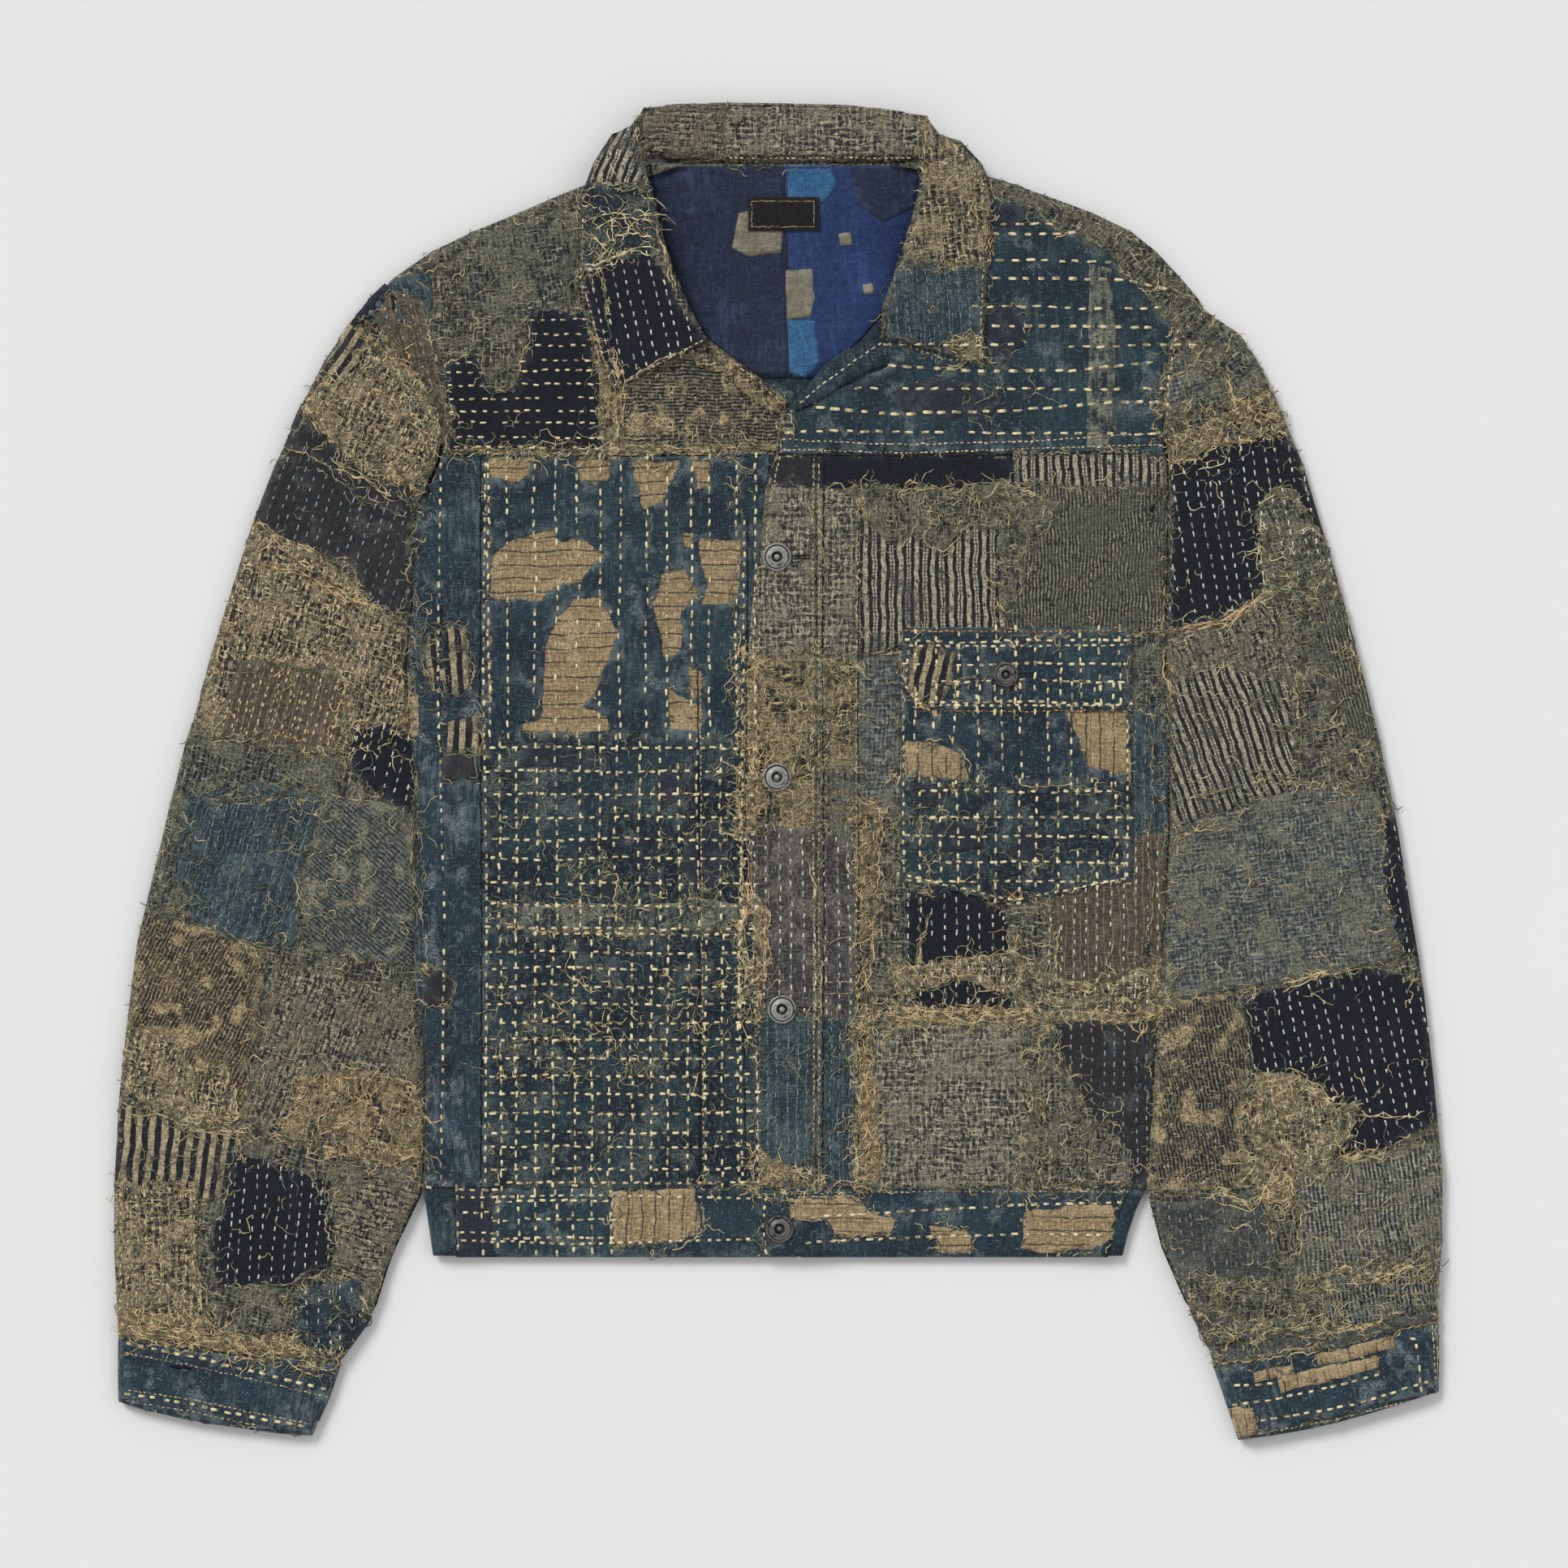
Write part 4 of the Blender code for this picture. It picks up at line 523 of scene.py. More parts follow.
class Grain:
    """Smooth value noise in the plane, from -1 to 1, repeatable by its seed."""

    SIZE = 256
    START = (7.3, 3.1)

    def __init__(self, seed):
        self.values = np.random.default_rng(seed).random((self.SIZE, self.SIZE)) * 2 - 1

    def at(self, x, y, scale):
        u = np.asarray(x, float) / scale + self.START[0]
        v = np.asarray(y, float) / scale + self.START[1]
        i = np.floor(u).astype(int)
        j = np.floor(v).astype(int)
        a = eased(u - i)
        b = eased(v - j)
        low = self.node(i, j) * (1 - a) + self.node(i + 1, j) * a
        high = self.node(i, j + 1) * (1 - a) + self.node(i + 1, j + 1) * a
        return low * (1 - b) + high * b

    def node(self, i, j):
        return self.values[i % self.SIZE, j % self.SIZE]


def eased(share):
    return share * share * (3 - 2 * share)


def ramp(low, high, value):
    """0 up to the low value, 1 from the high one on, and a soft rise between them."""
    return eased(np.clip((value - low) / (high - low), 0, 1))


RUMPLE = Grain(11)
RUMPLE_FINE = Grain(12)
TEAR_X = Grain(13)
TEAR_Y = Grain(14)


def crease_height(x, y, creases):
    """How far the creases raise the cloth at these places, in millimetres."""
    total = np.zeros_like(x)
    for x0, y0, x1, y1, half, height, bow in creases:
        run = math.hypot(x1 - x0, y1 - y0)
        along = ((x - x0) * (x1 - x0) + (y - y0) * (y1 - y0)) / run
        aside = ((y - y0) * (x1 - x0) - (x - x0) * (y1 - y0)) / run
        share = np.clip(along / run, 0, 1)
        beyond = np.abs(along - share * run)
        aside = aside - bow * np.sin(math.pi * share)
        width = half * (0.65 + 0.5 * share)
        taper = np.sin(math.pi * (0.12 + 0.76 * share))
        total += height * taper * np.exp(-((aside / width) ** 2)) * np.exp(-((beyond / half) ** 2))
    return total


def rumple(x, y):
    """The soft unevenness of cloth that was never ironed."""
    broad = RUMPLE.at(x, y, 21.0)
    folded = 1 - 2 * np.abs(RUMPLE.at(x + 90, y - 40, 15.0))
    return 0.75 * broad + 0.4 * folded + 0.3 * RUMPLE_FINE.at(x, y, 9.0)


# ---------------------------------------------------------------- meshes


def link(obj):
    bpy.context.scene.collection.objects.link(obj)
    return obj


def mesh_from(name, points, faces, material):
    """An object from arrays of points in metres and of faces that all have as many corners."""
    mesh = bpy.data.meshes.new(name)
    corners = faces.shape[1]
    mesh.vertices.add(len(points))
    mesh.vertices.foreach_set("co", np.asarray(points, np.float32).ravel())
    mesh.loops.add(faces.size)
    mesh.loops.foreach_set("vertex_index", faces.astype(np.int32).ravel())
    mesh.polygons.add(len(faces))
    mesh.polygons.foreach_set("loop_start", np.arange(len(faces), dtype=np.int32) * corners)
    mesh.polygons.foreach_set("use_smooth", np.ones(len(faces), bool))
    mesh.update(calc_edges=True)
    mesh.materials.append(material)
    made = link(bpy.data.objects.new(name, mesh))
    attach(made, "root")
    return made


def points_of(mesh):
    found = np.empty(len(mesh.vertices) * 3, np.float32)
    mesh.vertices.foreach_get("co", found)
    return found.reshape(-1, 3).astype(float)


def triangles_of(mesh):
    mesh.calc_loop_triangles()
    found = np.empty(len(mesh.loop_triangles) * 3, np.int32)
    mesh.loop_triangles.foreach_get("vertices", found)
    return found.reshape(-1, 3)


def three_sides(faces):
    return np.concatenate([faces[:, [0, 1]], faces[:, [1, 2]], faces[:, [2, 0]]])


class Surface:
    """The upper, or lower, side of some pieces, which things are laid on."""

    REACH = 0.2
    OVERHANG = 0.9
    EDGE_LEVEL = 0.0055
    UNDER_EDGE_LEVEL = 0.0005
    PAST_LEVEL = 0.0012

    def __init__(self, objects, below=False, overhang=OVERHANG):
        self.overhang = overhang * MM
        points, faces, self.owners = [], [], []
        start = 0
        for obj in objects:
            own = triangles_of(obj.data)
            points.append(points_of(obj.data))
            faces.append(own + start)
            self.owners += [obj.name] * len(own)
            start += len(points[-1])
        points, faces = np.concatenate(points).tolist(), np.concatenate(faces).tolist()
        self.tree = BVHTree.FromPolygons(points, faces, all_triangles=True)
        self.way = Vector((0, 0, 1 if below else -1))
        self.level = self.UNDER_EDGE_LEVEL if below else self.EDGE_LEVEL

    def lay(self, x, y, snap=True):
        """For places in millimetres: points on the surface in metres, whether each was hit, and owners."""
        spots = np.empty((len(x), 3))
        hits = np.zeros(len(x), bool)
        owners = []
        start = -self.way.z * self.REACH
        for index, (px, py) in enumerate(zip(x * MM, y * MM)):
            place, _, face, _ = self.tree.ray_cast(Vector((px, py, start)), self.way)
            if place is not None:
                hits[index] = True
            elif snap:
                place, face = self.beside(px, py)
            else:
                place = Vector((px, py, self.PAST_LEVEL))
            spots[index] = place
            if face is not None:
                owners.append(self.owners[face])
        return spots, hits, owners

    def beside(self, px, py):
        """For a place just off the cloth: past the edge by the overhang at most, at the edge's height."""
        near, _, face, _ = self.tree.find_nearest(Vector((px, py, self.level)))
        away = Vector((px - near.x, py - near.y, 0))
        return near + away * min(1.0, self.overhang / max(away.length, 1e-9)), face


# ---------------------------------------------------------------- soft shells on the solids

DICE = 10.0 * MM
COARSE_DICE = 15.0 * MM
COARSE_NODES = ("back", "back_yoke", "waistband_back")
CRISP_NODES = ("label", "lining_right", "lining_left")
FACET = 1.2 * MM
EVENING_ROUNDS = 4
# between these heights cloth passes from the side that lies down to the side that shows
UPPER_FROM, UPPER_TO = 3.6, 6.4
UNDER_FROM, UNDER_TO = 0.5, 3.0
UNDER_CLEARANCE = 0.9


def welded(points, faces):
    """The mesh with the points that share a place made one."""
    _, first, index = np.unique(np.round(points, 6), axis=0, return_index=True, return_inverse=True)
    faces = index.reshape(-1)[faces]
    sound = (faces[:, 0] != faces[:, 1]) & (faces[:, 1] != faces[:, 2]) & (faces[:, 2] != faces[:, 0])
    return points[first], faces[sound]


def halved(points, faces, longest):
    """One round of cutting every edge longer than this in two. None when there is no such edge."""
    sides = np.stack([faces, np.roll(faces, -1, 1)], 2).reshape(-1, 2)
    edges, index = np.unique(np.sort(sides, 1), axis=0, return_inverse=True)
    long = np.linalg.norm(points[edges[:, 0]] - points[edges[:, 1]], axis=1) > longest
    if not long.any():
        return None
    middle = np.full(len(edges), -1)
    middle[long] = len(points) + np.arange(long.sum())
    points = np.concatenate([points, points[edges[long]].mean(1)])
    mids = middle[index.reshape(-1)].reshape(-1, 3)
    cuts = (mids >= 0).sum(1)
    done = [faces[cuts == 0]]
    for turn in range(3):
        a, b, c = np.roll(faces, -turn, 1).T
        m, n, _ = np.roll(mids, -turn, 1).T
        one = (cuts == 1) & (m >= 0)
        two = (cuts == 2) & (m >= 0) & (n >= 0)
        near = np.linalg.norm(points[a] - points[n], axis=1) < np.linalg.norm(points[m] - points[c], axis=1)
        for corners, chosen in (
            ((a, m, c), one), ((m, b, c), one), ((m, b, n), two), ((a, m, n), two & near),
            ((a, n, c), two & near), ((a, m, c), two & ~near), ((m, n, c), two & ~near),
        ):
            done.append(np.stack(corners, 1)[chosen])
    a, b, c = faces[cuts == 3].T
    m, n, o = mids[cuts == 3].T
    done += [np.stack(corners, 1) for corners in ((a, m, o), (m, b, n), (o, n, c), (m, n, o))]
    return points, np.concatenate(done)


def diced(points, faces, longest):
    cut = points, faces
    while cut is not None:
        points, faces = cut
        cut = halved(points, faces, longest)
    return points, faces


def evened(points, faces):
    """The heights after points have moved towards their neighbours' mean, which rounds off facets."""
    edges = three_sides(faces)
    both = np.concatenate([edges, edges[:, ::-1]])
    flat = np.hypot(*(points[both[:, 0], :2] - points[both[:, 1], :2]).T) > FACET
    here, there = both[flat].T
    count = np.maximum(np.bincount(here, minlength=len(points)), 1)
    height = points[:, 2].copy()
    for _ in range(EVENING_ROUNDS):
        mean = np.bincount(here, height[there], minlength=len(points)) / count
        height += 0.5 * (mean - height)
    return height


def soft_shell(node, row):
    """A thin closed shell on a cloth solid, rounded, rumpled and creased."""
    solid = frame["nodes"][node].data
    longest = COARSE_DICE if node in COARSE_NODES else DICE
    points, faces = diced(*welded(points_of(solid), triangles_of(solid)), longest)
    if node not in CRISP_NODES:
        points[:, 2] = evened(points, faces)
    x, y, z = (points / MM).T
    lift = crease_height(x, y, CREASES) + 0.55 * rumple(x, y)
    under = np.maximum(crease_height(x, y, UNDER_CREASES), 0) + 0.3 * np.abs(RUMPLE.at(x, y, 17.0))
    lower = 1 - ramp(UNDER_FROM, UNDER_TO, z)
    raised = z + ramp(UPPER_FROM, UPPER_TO, z) * lift + lower * (UNDER_CLEARANCE + 0.6 * under)
    points[:, 2] = np.maximum(raised, UNDER_CLEARANCE) * MM
    made = mesh_from(node + "_cloth", points, faces, cloth_material(row.cloth, 0))
    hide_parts(node)
    return made


# ---------------------------------------------------------------- ragged patches

TEAR_STEP = 2.4
MESH_STEP = 3.4
UNDER_MESH_STEP = 6.0
LINING_RAGGEDNESS = 0.12
HOLE_RAGGEDNESS = 0.6
BENT_FILL = 0.45
FIRST_LIFT = 0.45
LAYER_LIFT = 0.5
LINING_LIFT = 0.12
LINING_LAYER_LIFT = 0.15
UNDER_LIFT = 0.2
UNDER_LOWEST = 0.5
SETTLED_WIDTH = 5.0
EDGE_DROP = 0.9
UNDER_EDGE_DROP = 0.4
FLOOR_GAP = 0.05
ARMHOLE_OVERHANG = 6.0


def places(run):
    """The points of a run of x and y."""
    return np.reshape(run, (-1, 2)).astype(float)


def closed_loop(outline, step):
    """The outline's points with more between them, no further apart than the step."""
    corners = places(outline)
    pieces = []
    for start, end in zip(corners, np.roll(corners, -1, 0)):
        count = max(1, int(math.ceil(np.hypot(*(end - start)) / step)))
        share = np.arange(count)[:, None] / count
        pieces.append(start + share * (end - start))
    return np.concatenate(pieces)


def torn(outline, raggedness, seed):
    """The outline as worn cloth has it: wandering in the large, notched in the small."""
    loop = closed_loop(outline, TEAR_STEP)
    drifts = [1.8 * grain.at(*loop.T, 19) + 1.0 * grain.at(*loop.T, 7) for grain in (TEAR_X, TEAR_Y)]
    notch = np.random.default_rng(seed).normal(0, 0.55, loop.shape)
    return loop + (0.35 + raggedness) * np.stack(drifts, 1) + raggedness * notch


def inside(points, loop):
    x, y = points[:, :1], points[:, 1:]
    ax, ay = loop.T
    bx, by = np.roll(loop, -1, 0).T
    rise = np.where(by == ay, 1e-9, by - ay)
    crossed = ((ay > y) != (by > y)) & (x < (bx - ax) * (y - ay) / rise + ax)
    return crossed.sum(1) % 2 == 1


def distance_to(points, loop):
    """How far each point is from the nearest point of a finely stepped loop."""
    nearest = np.full(len(points), 1e9)
    for start in range(0, len(loop), 60):
        part = loop[start:start + 60]
        gap = np.hypot(points[:, :1] - part[:, 0], points[:, 1:] - part[:, 1]).min(1)
        nearest = np.minimum(nearest, gap)
    return nearest


def quilted(x, y, tilt, rows):
    """How running stitches pull the cloth down along their rows and let it stand between them."""
    total = np.zeros_like(x)
    for direction, spacing, *_ in rows:
        turn = math.radians(direction + tilt)
        across = -x * math.sin(turn) + y * math.cos(turn) + 1.1 * RUMPLE_FINE.at(x, y, 40)
        total += 0.9 * min(1.0, spacing / 12) * (np.abs(np.sin(math.pi * (across / spacing))) - 0.5)
    return total / max(1, len(rows)) ** 0.5


def inner_points(loops, seed, step):
    """An uneven triangular grid of points inside a patch, clear of its borders and holes."""
    low, high = loops[0].min(0), loops[0].max(0)
    columns = np.arange(low[0], high[0], step)
    lines = np.arange(low[1], high[1], step * 0.87)
    grid_x, grid_y = np.meshgrid(columns, lines)
    grid_x = grid_x + (np.arange(len(lines)) % 2)[:, None] * step / 2
    inner = np.stack([grid_x.ravel(), grid_y.ravel()], 1)
    inner = inner + np.random.default_rng(seed).uniform(-0.4, 0.4, inner.shape)
    keep = inside(inner, loops[0])
    for loop in loops:
        keep &= distance_to(inner, loop) > step * 0.5
    for loop in loops[1:]:
        keep &= ~inside(inner, loop)
    return inner[keep]


def sheet_mesh(loops, seed, step):
    """Points and triangles of a flat patch inside its border loops, in millimetres."""
    edges, start = [], 0
    for loop in loops:
        ring = np.arange(start, start + len(loop))
        edges.append(np.stack([ring, np.roll(ring, -1)], 1))
        start += len(loop)
    flat = [Vector(place) for place in np.concatenate([*loops, inner_points(loops, seed, step)])]
    made = geometry.delaunay_2d_cdt(flat, np.concatenate(edges).tolist(), [], 0, 1e-5)
    points = np.array([tuple(place) for place in made[0]])
    faces = np.array([face for face in made[2] if len(face) == 3])
    middles = points[faces].mean(1)
    wanted = inside(middles, loops[0])
    for loop in loops[1:]:
        wanted &= ~inside(middles, loop)
    faces = faces[wanted]
    used = np.unique(faces)
    renumber = np.full(len(points), -1)
    renumber[used] = np.arange(len(used))
    return points[used], renumber[faces]


def border_edges(faces):
    edges = three_sides(faces)
    _, first, count = np.unique(np.sort(edges, 1), axis=0, return_index=True, return_counts=True)
    return edges[first[count == 1]]


def patch_heights(row, flat, to_border, bed, seed, below):
    """Heights in metres of a patch that lies on a bed of these heights."""
    if row.region == "lining":
        return bed + (LINING_LIFT + LINING_LAYER_LIFT * row.layer) * MM
    apart = 0.004 * (seed % 23)
    if below:
        return np.maximum(bed - (UNDER_LIFT + apart) * MM, (UNDER_LOWEST - UNDER_LIFT * row.layer) * MM)
    x, y = flat.T
    settled = ramp(0, SETTLED_WIDTH, to_border)
    lift = FIRST_LIFT + LAYER_LIFT * row.layer + apart
    relief = quilted(x, y, row.tilt, ROWS[row.rows]) + 0.5 * RUMPLE_FINE.at(x, y, 5.5)
    lift = lift + 0.5 * settled * relief
    lift = np.maximum(lift, 0.2) + (1 - settled) * 0.35 * row.fraying * TEAR_X.at(x, y, 4)
    return bed + lift * MM


def skirted(spots, faces, drop):
    """The patch with a narrow skirt round every border, which closes the gap to the cloth under it."""
    rim = border_edges(faces)
    rim_points, rim_index = np.unique(rim, return_inverse=True)
    rim_index = rim_index.reshape(rim.shape) + len(spots)
    dropped = spots[rim_points].copy()
    dropped[:, 2] -= drop * MM
    skirt_a = np.stack([rim[:, 1], rim[:, 0], rim_index[:, 0]], 1)
    skirt_b = np.stack([rim[:, 1], rim_index[:, 0], rim_index[:, 1]], 1)
    return np.concatenate([spots, dropped]), np.concatenate([faces, skirt_a, skirt_b])


def make_patch(name, row, seed):
    """One torn patch laid on its region's shells. Gives the object and its border loops."""
    below = row.region.startswith("under")
    ragged = LINING_RAGGEDNESS if row.region == "lining" else row.fraying
    loops = [torn(row.outline, ragged, seed)]
    if row.outline is CHEST_PATCH:
        loops += [torn(hole, HOLE_RAGGEDNESS, seed + 7 + index) for index, hole in enumerate(CHEST_HOLES)]
    flat, faces = sheet_mesh(loops, seed, UNDER_MESH_STEP if below else MESH_STEP)
    spots, _, owners = surface_of(row.region).lay(*flat.T)
    to_border = distance_to(flat, np.concatenate(loops))
    spots[:, 2] = patch_heights(row, flat, to_border, spots[:, 2], seed, below)
    points, every = skirted(spots, faces, -UNDER_EDGE_DROP if below else EDGE_DROP)
    made = mesh_from(name, points, every[:, ::-1] if below else every, cloth_material(row.cloth, row.tilt))
    worn = np.ones(len(points), np.float32)
    worn[:len(spots)] = 1 - ramp(0.5, 5.5, to_border)
    made.data.attributes.new("edge", "FLOAT", "POINT").data.foreach_set("value", worn)
    add_bake_map(made)
    owner = max(sorted(set(owners)), key=owners.count)
    declare_patch(spots[:, :2] / MM, faces, loops)
    return made, loops


def declare_patch(flat, faces, loops):
    """Works out the width and length of a patch's cut, a bent strip's as it lies straight; nothing is done
    with them.
    """
    a, b, c = (flat[faces[:, corner]] for corner in range(3))
    area = 0.5 * np.abs((b - a)[:, 0] * (c - a)[:, 1] - (b - a)[:, 1] * (c - a)[:, 0]).sum()
    width, length = np.ptp(flat, axis=0)
    if area < BENT_FILL * width * length:
        half_round = 0.46 * np.hypot(*(np.roll(loops[0], -1, 0) - loops[0]).T).sum()
        length = (half_round + math.sqrt(max(half_round ** 2 - 4 * area, 0))) / 2
        width = area / length


def add_bake_map(obj):
    """A flat map over the patch, seen from above, that fills the square."""
    points = points_of(obj.data)[:, :2]
    low, high = points.min(0), points.max(0)
    span = np.maximum(high - low, 1e-6)
    corners = np.empty(len(obj.data.loops), np.int32)
    obj.data.loops.foreach_get("vertex_index", corners)
    layer = obj.data.uv_layers.new(name="OFBake")
    spread = 0.01 + 0.98 * (points - low) / span
    layer.uv.foreach_set("vector", spread[corners].astype(np.float32).ravel())


@functools.cache
def surface_of(region):
    """What the patches of a region are laid on."""
    shells = [bpy.data.objects[node + "_cloth"] for node in REGION_NODES.get(region, (region,))]
    if region.startswith("armhole"):
        return Surface(shells, overhang=ARMHOLE_OVERHANG)
    return Surface(shells, below=region.startswith("under"))


# ---------------------------------------------------------------- running stitches

# along as a share of the length, height and width as shares of the thickness
STITCH_STATIONS = ((-0.5, -0.3, 0.35), (-0.33, 0.3, 0.92), (0.33, 0.3, 0.92), (0.5, -0.3, 0.35))
STITCH_SIDES = ((-0.5, 0.0), (0.0, 0.5), (0.5, 0.0))
STEEPEST_STITCH = 0.6 * MM
UNEVEN_PITCH = 0.06
UNEVEN_SPACING = 0.14
MISSED_SHARE = 0.05
MISSED_OVER_HOLES = 0.45


def strip_faces(stations, wide):
    """Four-cornered faces between rows of points along a strip."""
    near = (np.arange(stations - 1) * wide)[:, None] + np.arange(wide - 1)
    return np.stack([near, near + wide, near + wide + 1, near + 1], 2).reshape(-1, 4)


def copied_faces(faces, count, size):
    """The faces of many copies of a shape with this many points, one after another."""
    return (faces[None] + (np.arange(count) * size)[:, None, None]).reshape(-1, faces.shape[1])


def unit(vectors, axis):
    return vectors / np.maximum(np.linalg.norm(vectors, axis=axis, keepdims=True), 1e-9)


def make_stitches(name, surface, centres, angles, lengths, widths, thread, below):
    """Every stitch of one colour as a single joined mesh: short beads whose ends dip into the cloth."""
    half = 0.5 * lengths[:, None] * np.stack([np.cos(angles), np.sin(angles)], 1)
    tails, tail_hits, _ = surface.lay(*(centres - half).T)
    heads, head_hits, _ = surface.lay(*(centres + half).T)
    on_cloth = tail_hits & head_hits
    tails, heads, widths = tails[on_cloth], heads[on_cloth], widths[on_cloth]
    along = heads - tails
    along[:, 2] = np.clip(along[:, 2], -STEEPEST_STITCH, STEEPEST_STITCH)
    across = unit(np.cross(UP, along), 1)
    up = (-UP if below else UP)[None, :]
    thick = (widths * MM)[:, None]
    points = []
    for share, height, width in STITCH_STATIONS:
        for side, top in STITCH_SIDES:
            place = (heads + tails) / 2 + along * share + across * (side * width) * thick
            points.append(place + up * (top * width + height) * thick)
    points = np.stack(points, 1)
    points[:, :, 2] = np.maximum(points[:, :, 2], FLOOR_GAP * MM)
    faces = copied_faces(strip_faces(len(STITCH_STATIONS), len(STITCH_SIDES)), len(tails), points.shape[1])
    mesh_from(name, points.reshape(-1, 3), faces[:, ::-1] if below else faces, thread_material(thread))


def as_drawn(parts, column):
    """One column of the drawn groups: a value for every member of each group."""
    return np.concatenate([np.broadcast_to(part[column], len(part[0])) for part in parts])


class StitchBag:
    """Collects stitches by side and thread, so that each kind becomes one mesh."""

    def __init__(self):
        self.found = {}

    def add(self, side, thread, centres, angles, length, width):
        self.found.setdefault((side, thread), []).append((centres, angles, length, width))

    def rows_on(self, side, loops, tilt, rows, seed):
        """Fills the inside of a patch's border with its rows of running stitch."""
        rng = np.random.default_rng(seed)
        low, high = loops[0].min(0), loops[0].max(0)
        reach = np.hypot(*(high - low)) / 2 + 5
        centre = (low + high) / 2
        for direction, spacing, pitch, length, width, thread in rows:
            turn = math.radians(direction + tilt)
            along = np.array((math.cos(turn), math.sin(turn)))
            across = np.array((-math.sin(turn), math.cos(turn)))
            base = math.floor((centre @ across) / spacing)
            count = int(reach / spacing) + 1
            for line in range(base - count, base + count + 1):
                steps = np.arange(-reach, reach, pitch) + rng.uniform(0, pitch)
                steps = steps + rng.normal(0, UNEVEN_PITCH * pitch, len(steps))
                shifted = (line + rng.uniform(-UNEVEN_SPACING, UNEVEN_SPACING)) * spacing
                spots = along * steps[:, None] + along * (centre @ along) + across * shifted
                drift = 1.1 * RUMPLE_FINE.at(*spots.T, 40) + rng.normal(0, 0.25, len(spots))
                spots = spots - across * drift[:, None]
                keep = inside(spots, loops[0]) & (rng.random(len(spots)) > MISSED_SHARE)
                for hole in loops[1:]:
                    keep &= ~inside(spots, hole) | (rng.random(len(spots)) > MISSED_OVER_HOLES)
                self.add(side, thread, spots[keep], turn + rng.normal(0, 0.08, keep.sum()), length, width)

    def line(self, run, pitch, length, width, thread, seed):
        """One row of stitches on the front along a bent line through these places. Dark ones also serve as
        painted shadow lines.
        """
        rng = np.random.default_rng(seed)
        corners = places(run)
        total = distances_along(corners)
        steps = np.arange(pitch / 2, total[-1], pitch)
        steps = steps + rng.normal(0, 0.05 * pitch, len(steps))
        here, ahead, behind = (at_distances(corners, total, steps + offset) for offset in (0, 1, -1))
        angles = np.arctan2(*(ahead - behind).T[::-1])
        spots = here + rng.normal(0, 0.18, (len(steps), 2))
        self.add("front", thread, spots, angles + rng.normal(0, 0.05, len(steps)), length, width)

    def sew(self, tops):
        for (side, thread), parts in sorted(self.found.items()):
            centres = np.concatenate([part[0] for part in parts])
            angles, lengths, widths = (as_drawn(parts, column) for column in (1, 2, 3))
            rng = np.random.default_rng(len(centres))
            lengths = lengths * rng.uniform(0.75, 1.2, len(lengths))
            widths = widths * rng.uniform(0.8, 1.15, len(widths))
            name = f"stitches_{side}_{thread}"
            make_stitches(name, tops[side], centres, angles, lengths, widths, thread, side == "under")


def distances_along(corners):
    """How far along a bent line each of its corners lies."""
    return np.concatenate([[0], np.cumsum(np.hypot(*np.diff(corners, axis=0).T))])


def at_distances(corners, total, where):
    """The places on a bent line at these distances along it."""
    return np.stack([np.interp(where, total, corners[:, 0]), np.interp(where, total, corners[:, 1])], -1)


# ---------------------------------------------------------------- loose threads

THREAD_POINTS = 7
STRAND_POINTS = 15
# aside and outward from the line, as shares of the radius: the side towards the cloth stays open
THREAD_PROFILE = ((-1.0, -0.4), (0.0, 0.8), (1.0, -0.4))
FRAY_DENSITY = 0.27
WEB_DENSITY = 0.34
WEB_REACH = 7.0
STRAND_DENSITY = 0.04
LONGEST_STRAND = 40
LONGEST_CORD = 70
SHORTEST_TANGLE = 7
LONGEST_TANGLE = 26
WEBBED_FROM = 0.45
# how much the yarn curls, how high it stands off the cloth, its radius
FRAY_YARN = (0.55, 0.5, 0.26)
WEB_YARN = (0.22, 0.7, 0.25)
TANGLE_YARN = (0.5, 0.8, 0.28)
STRAND_LOFT = 0.7
STRAND_DRIFT = 0.6
STRAND_JITTER = 0.45
TANGLE_TURN = 0.7
UNDER_FRAY = 0.14
THREAD_FLOOR_GAP = 6 * FLOOR_GAP
SOUND_CLOTHS = ("_navy", "_charcoal", "_brown", "_plum", "_twill", "_khaki")
COMBED_SHARE = 0.85
SHARE_ON_CLOTH = 0.8
DRAWN_IN = 0.45
STEEPEST_THREAD = 0.8


def yarns(name, lines, radii, thread, below):
    """Thin peaked strips along many lines of equally many points, in metres, as one mesh."""
    along = unit(np.gradient(lines, axis=1), 2)
    aside = unit(np.cross(along, UP), 2)
    over = np.cross(aside, along) * (-1 if below else 1)
    count, steps = lines.shape[:2]
    taper = np.ones(steps)
    taper[0] = 0.6
    taper[-1] = 0.35
    thickness = (radii[:, None] * taper)[:, :, None]
    rows = [lines + (side * aside + rise * over) * thickness for side, rise in THREAD_PROFILE]
    wide = len(THREAD_PROFILE)
    faces = copied_faces(strip_faces(steps, wide), count, steps * wide)
    mesh_from(name, np.stack(rows, 2).reshape(-1, 3), faces, thread_material(thread))


def wandering(starts, headings, lengths, curl, rng):
    """Lines that start at these places, bend at random and keep the crimp of the weave they left."""
    count, moves = len(starts), THREAD_POINTS - 1
    bend = rng.normal(0, 1, (count, 1)) * curl * 0.7
    angle = headings[:, None] + np.cumsum(bend + rng.normal(0, curl, (count, moves)), 1)
    crimp = rng.uniform(0, 2 * math.pi, (count, 1)) + np.arange(moves) * rng.uniform(1.3, 2.1, (count, 1))
    angle = angle + 0.6 * np.sin(crimp)
    steps = (lengths / moves)[:, None, None] * np.stack([np.cos(angle), np.sin(angle)], 2)
    return starts[:, None, :] + np.concatenate([np.zeros((count, 1, 2)), np.cumsum(steps, 1)], 1)


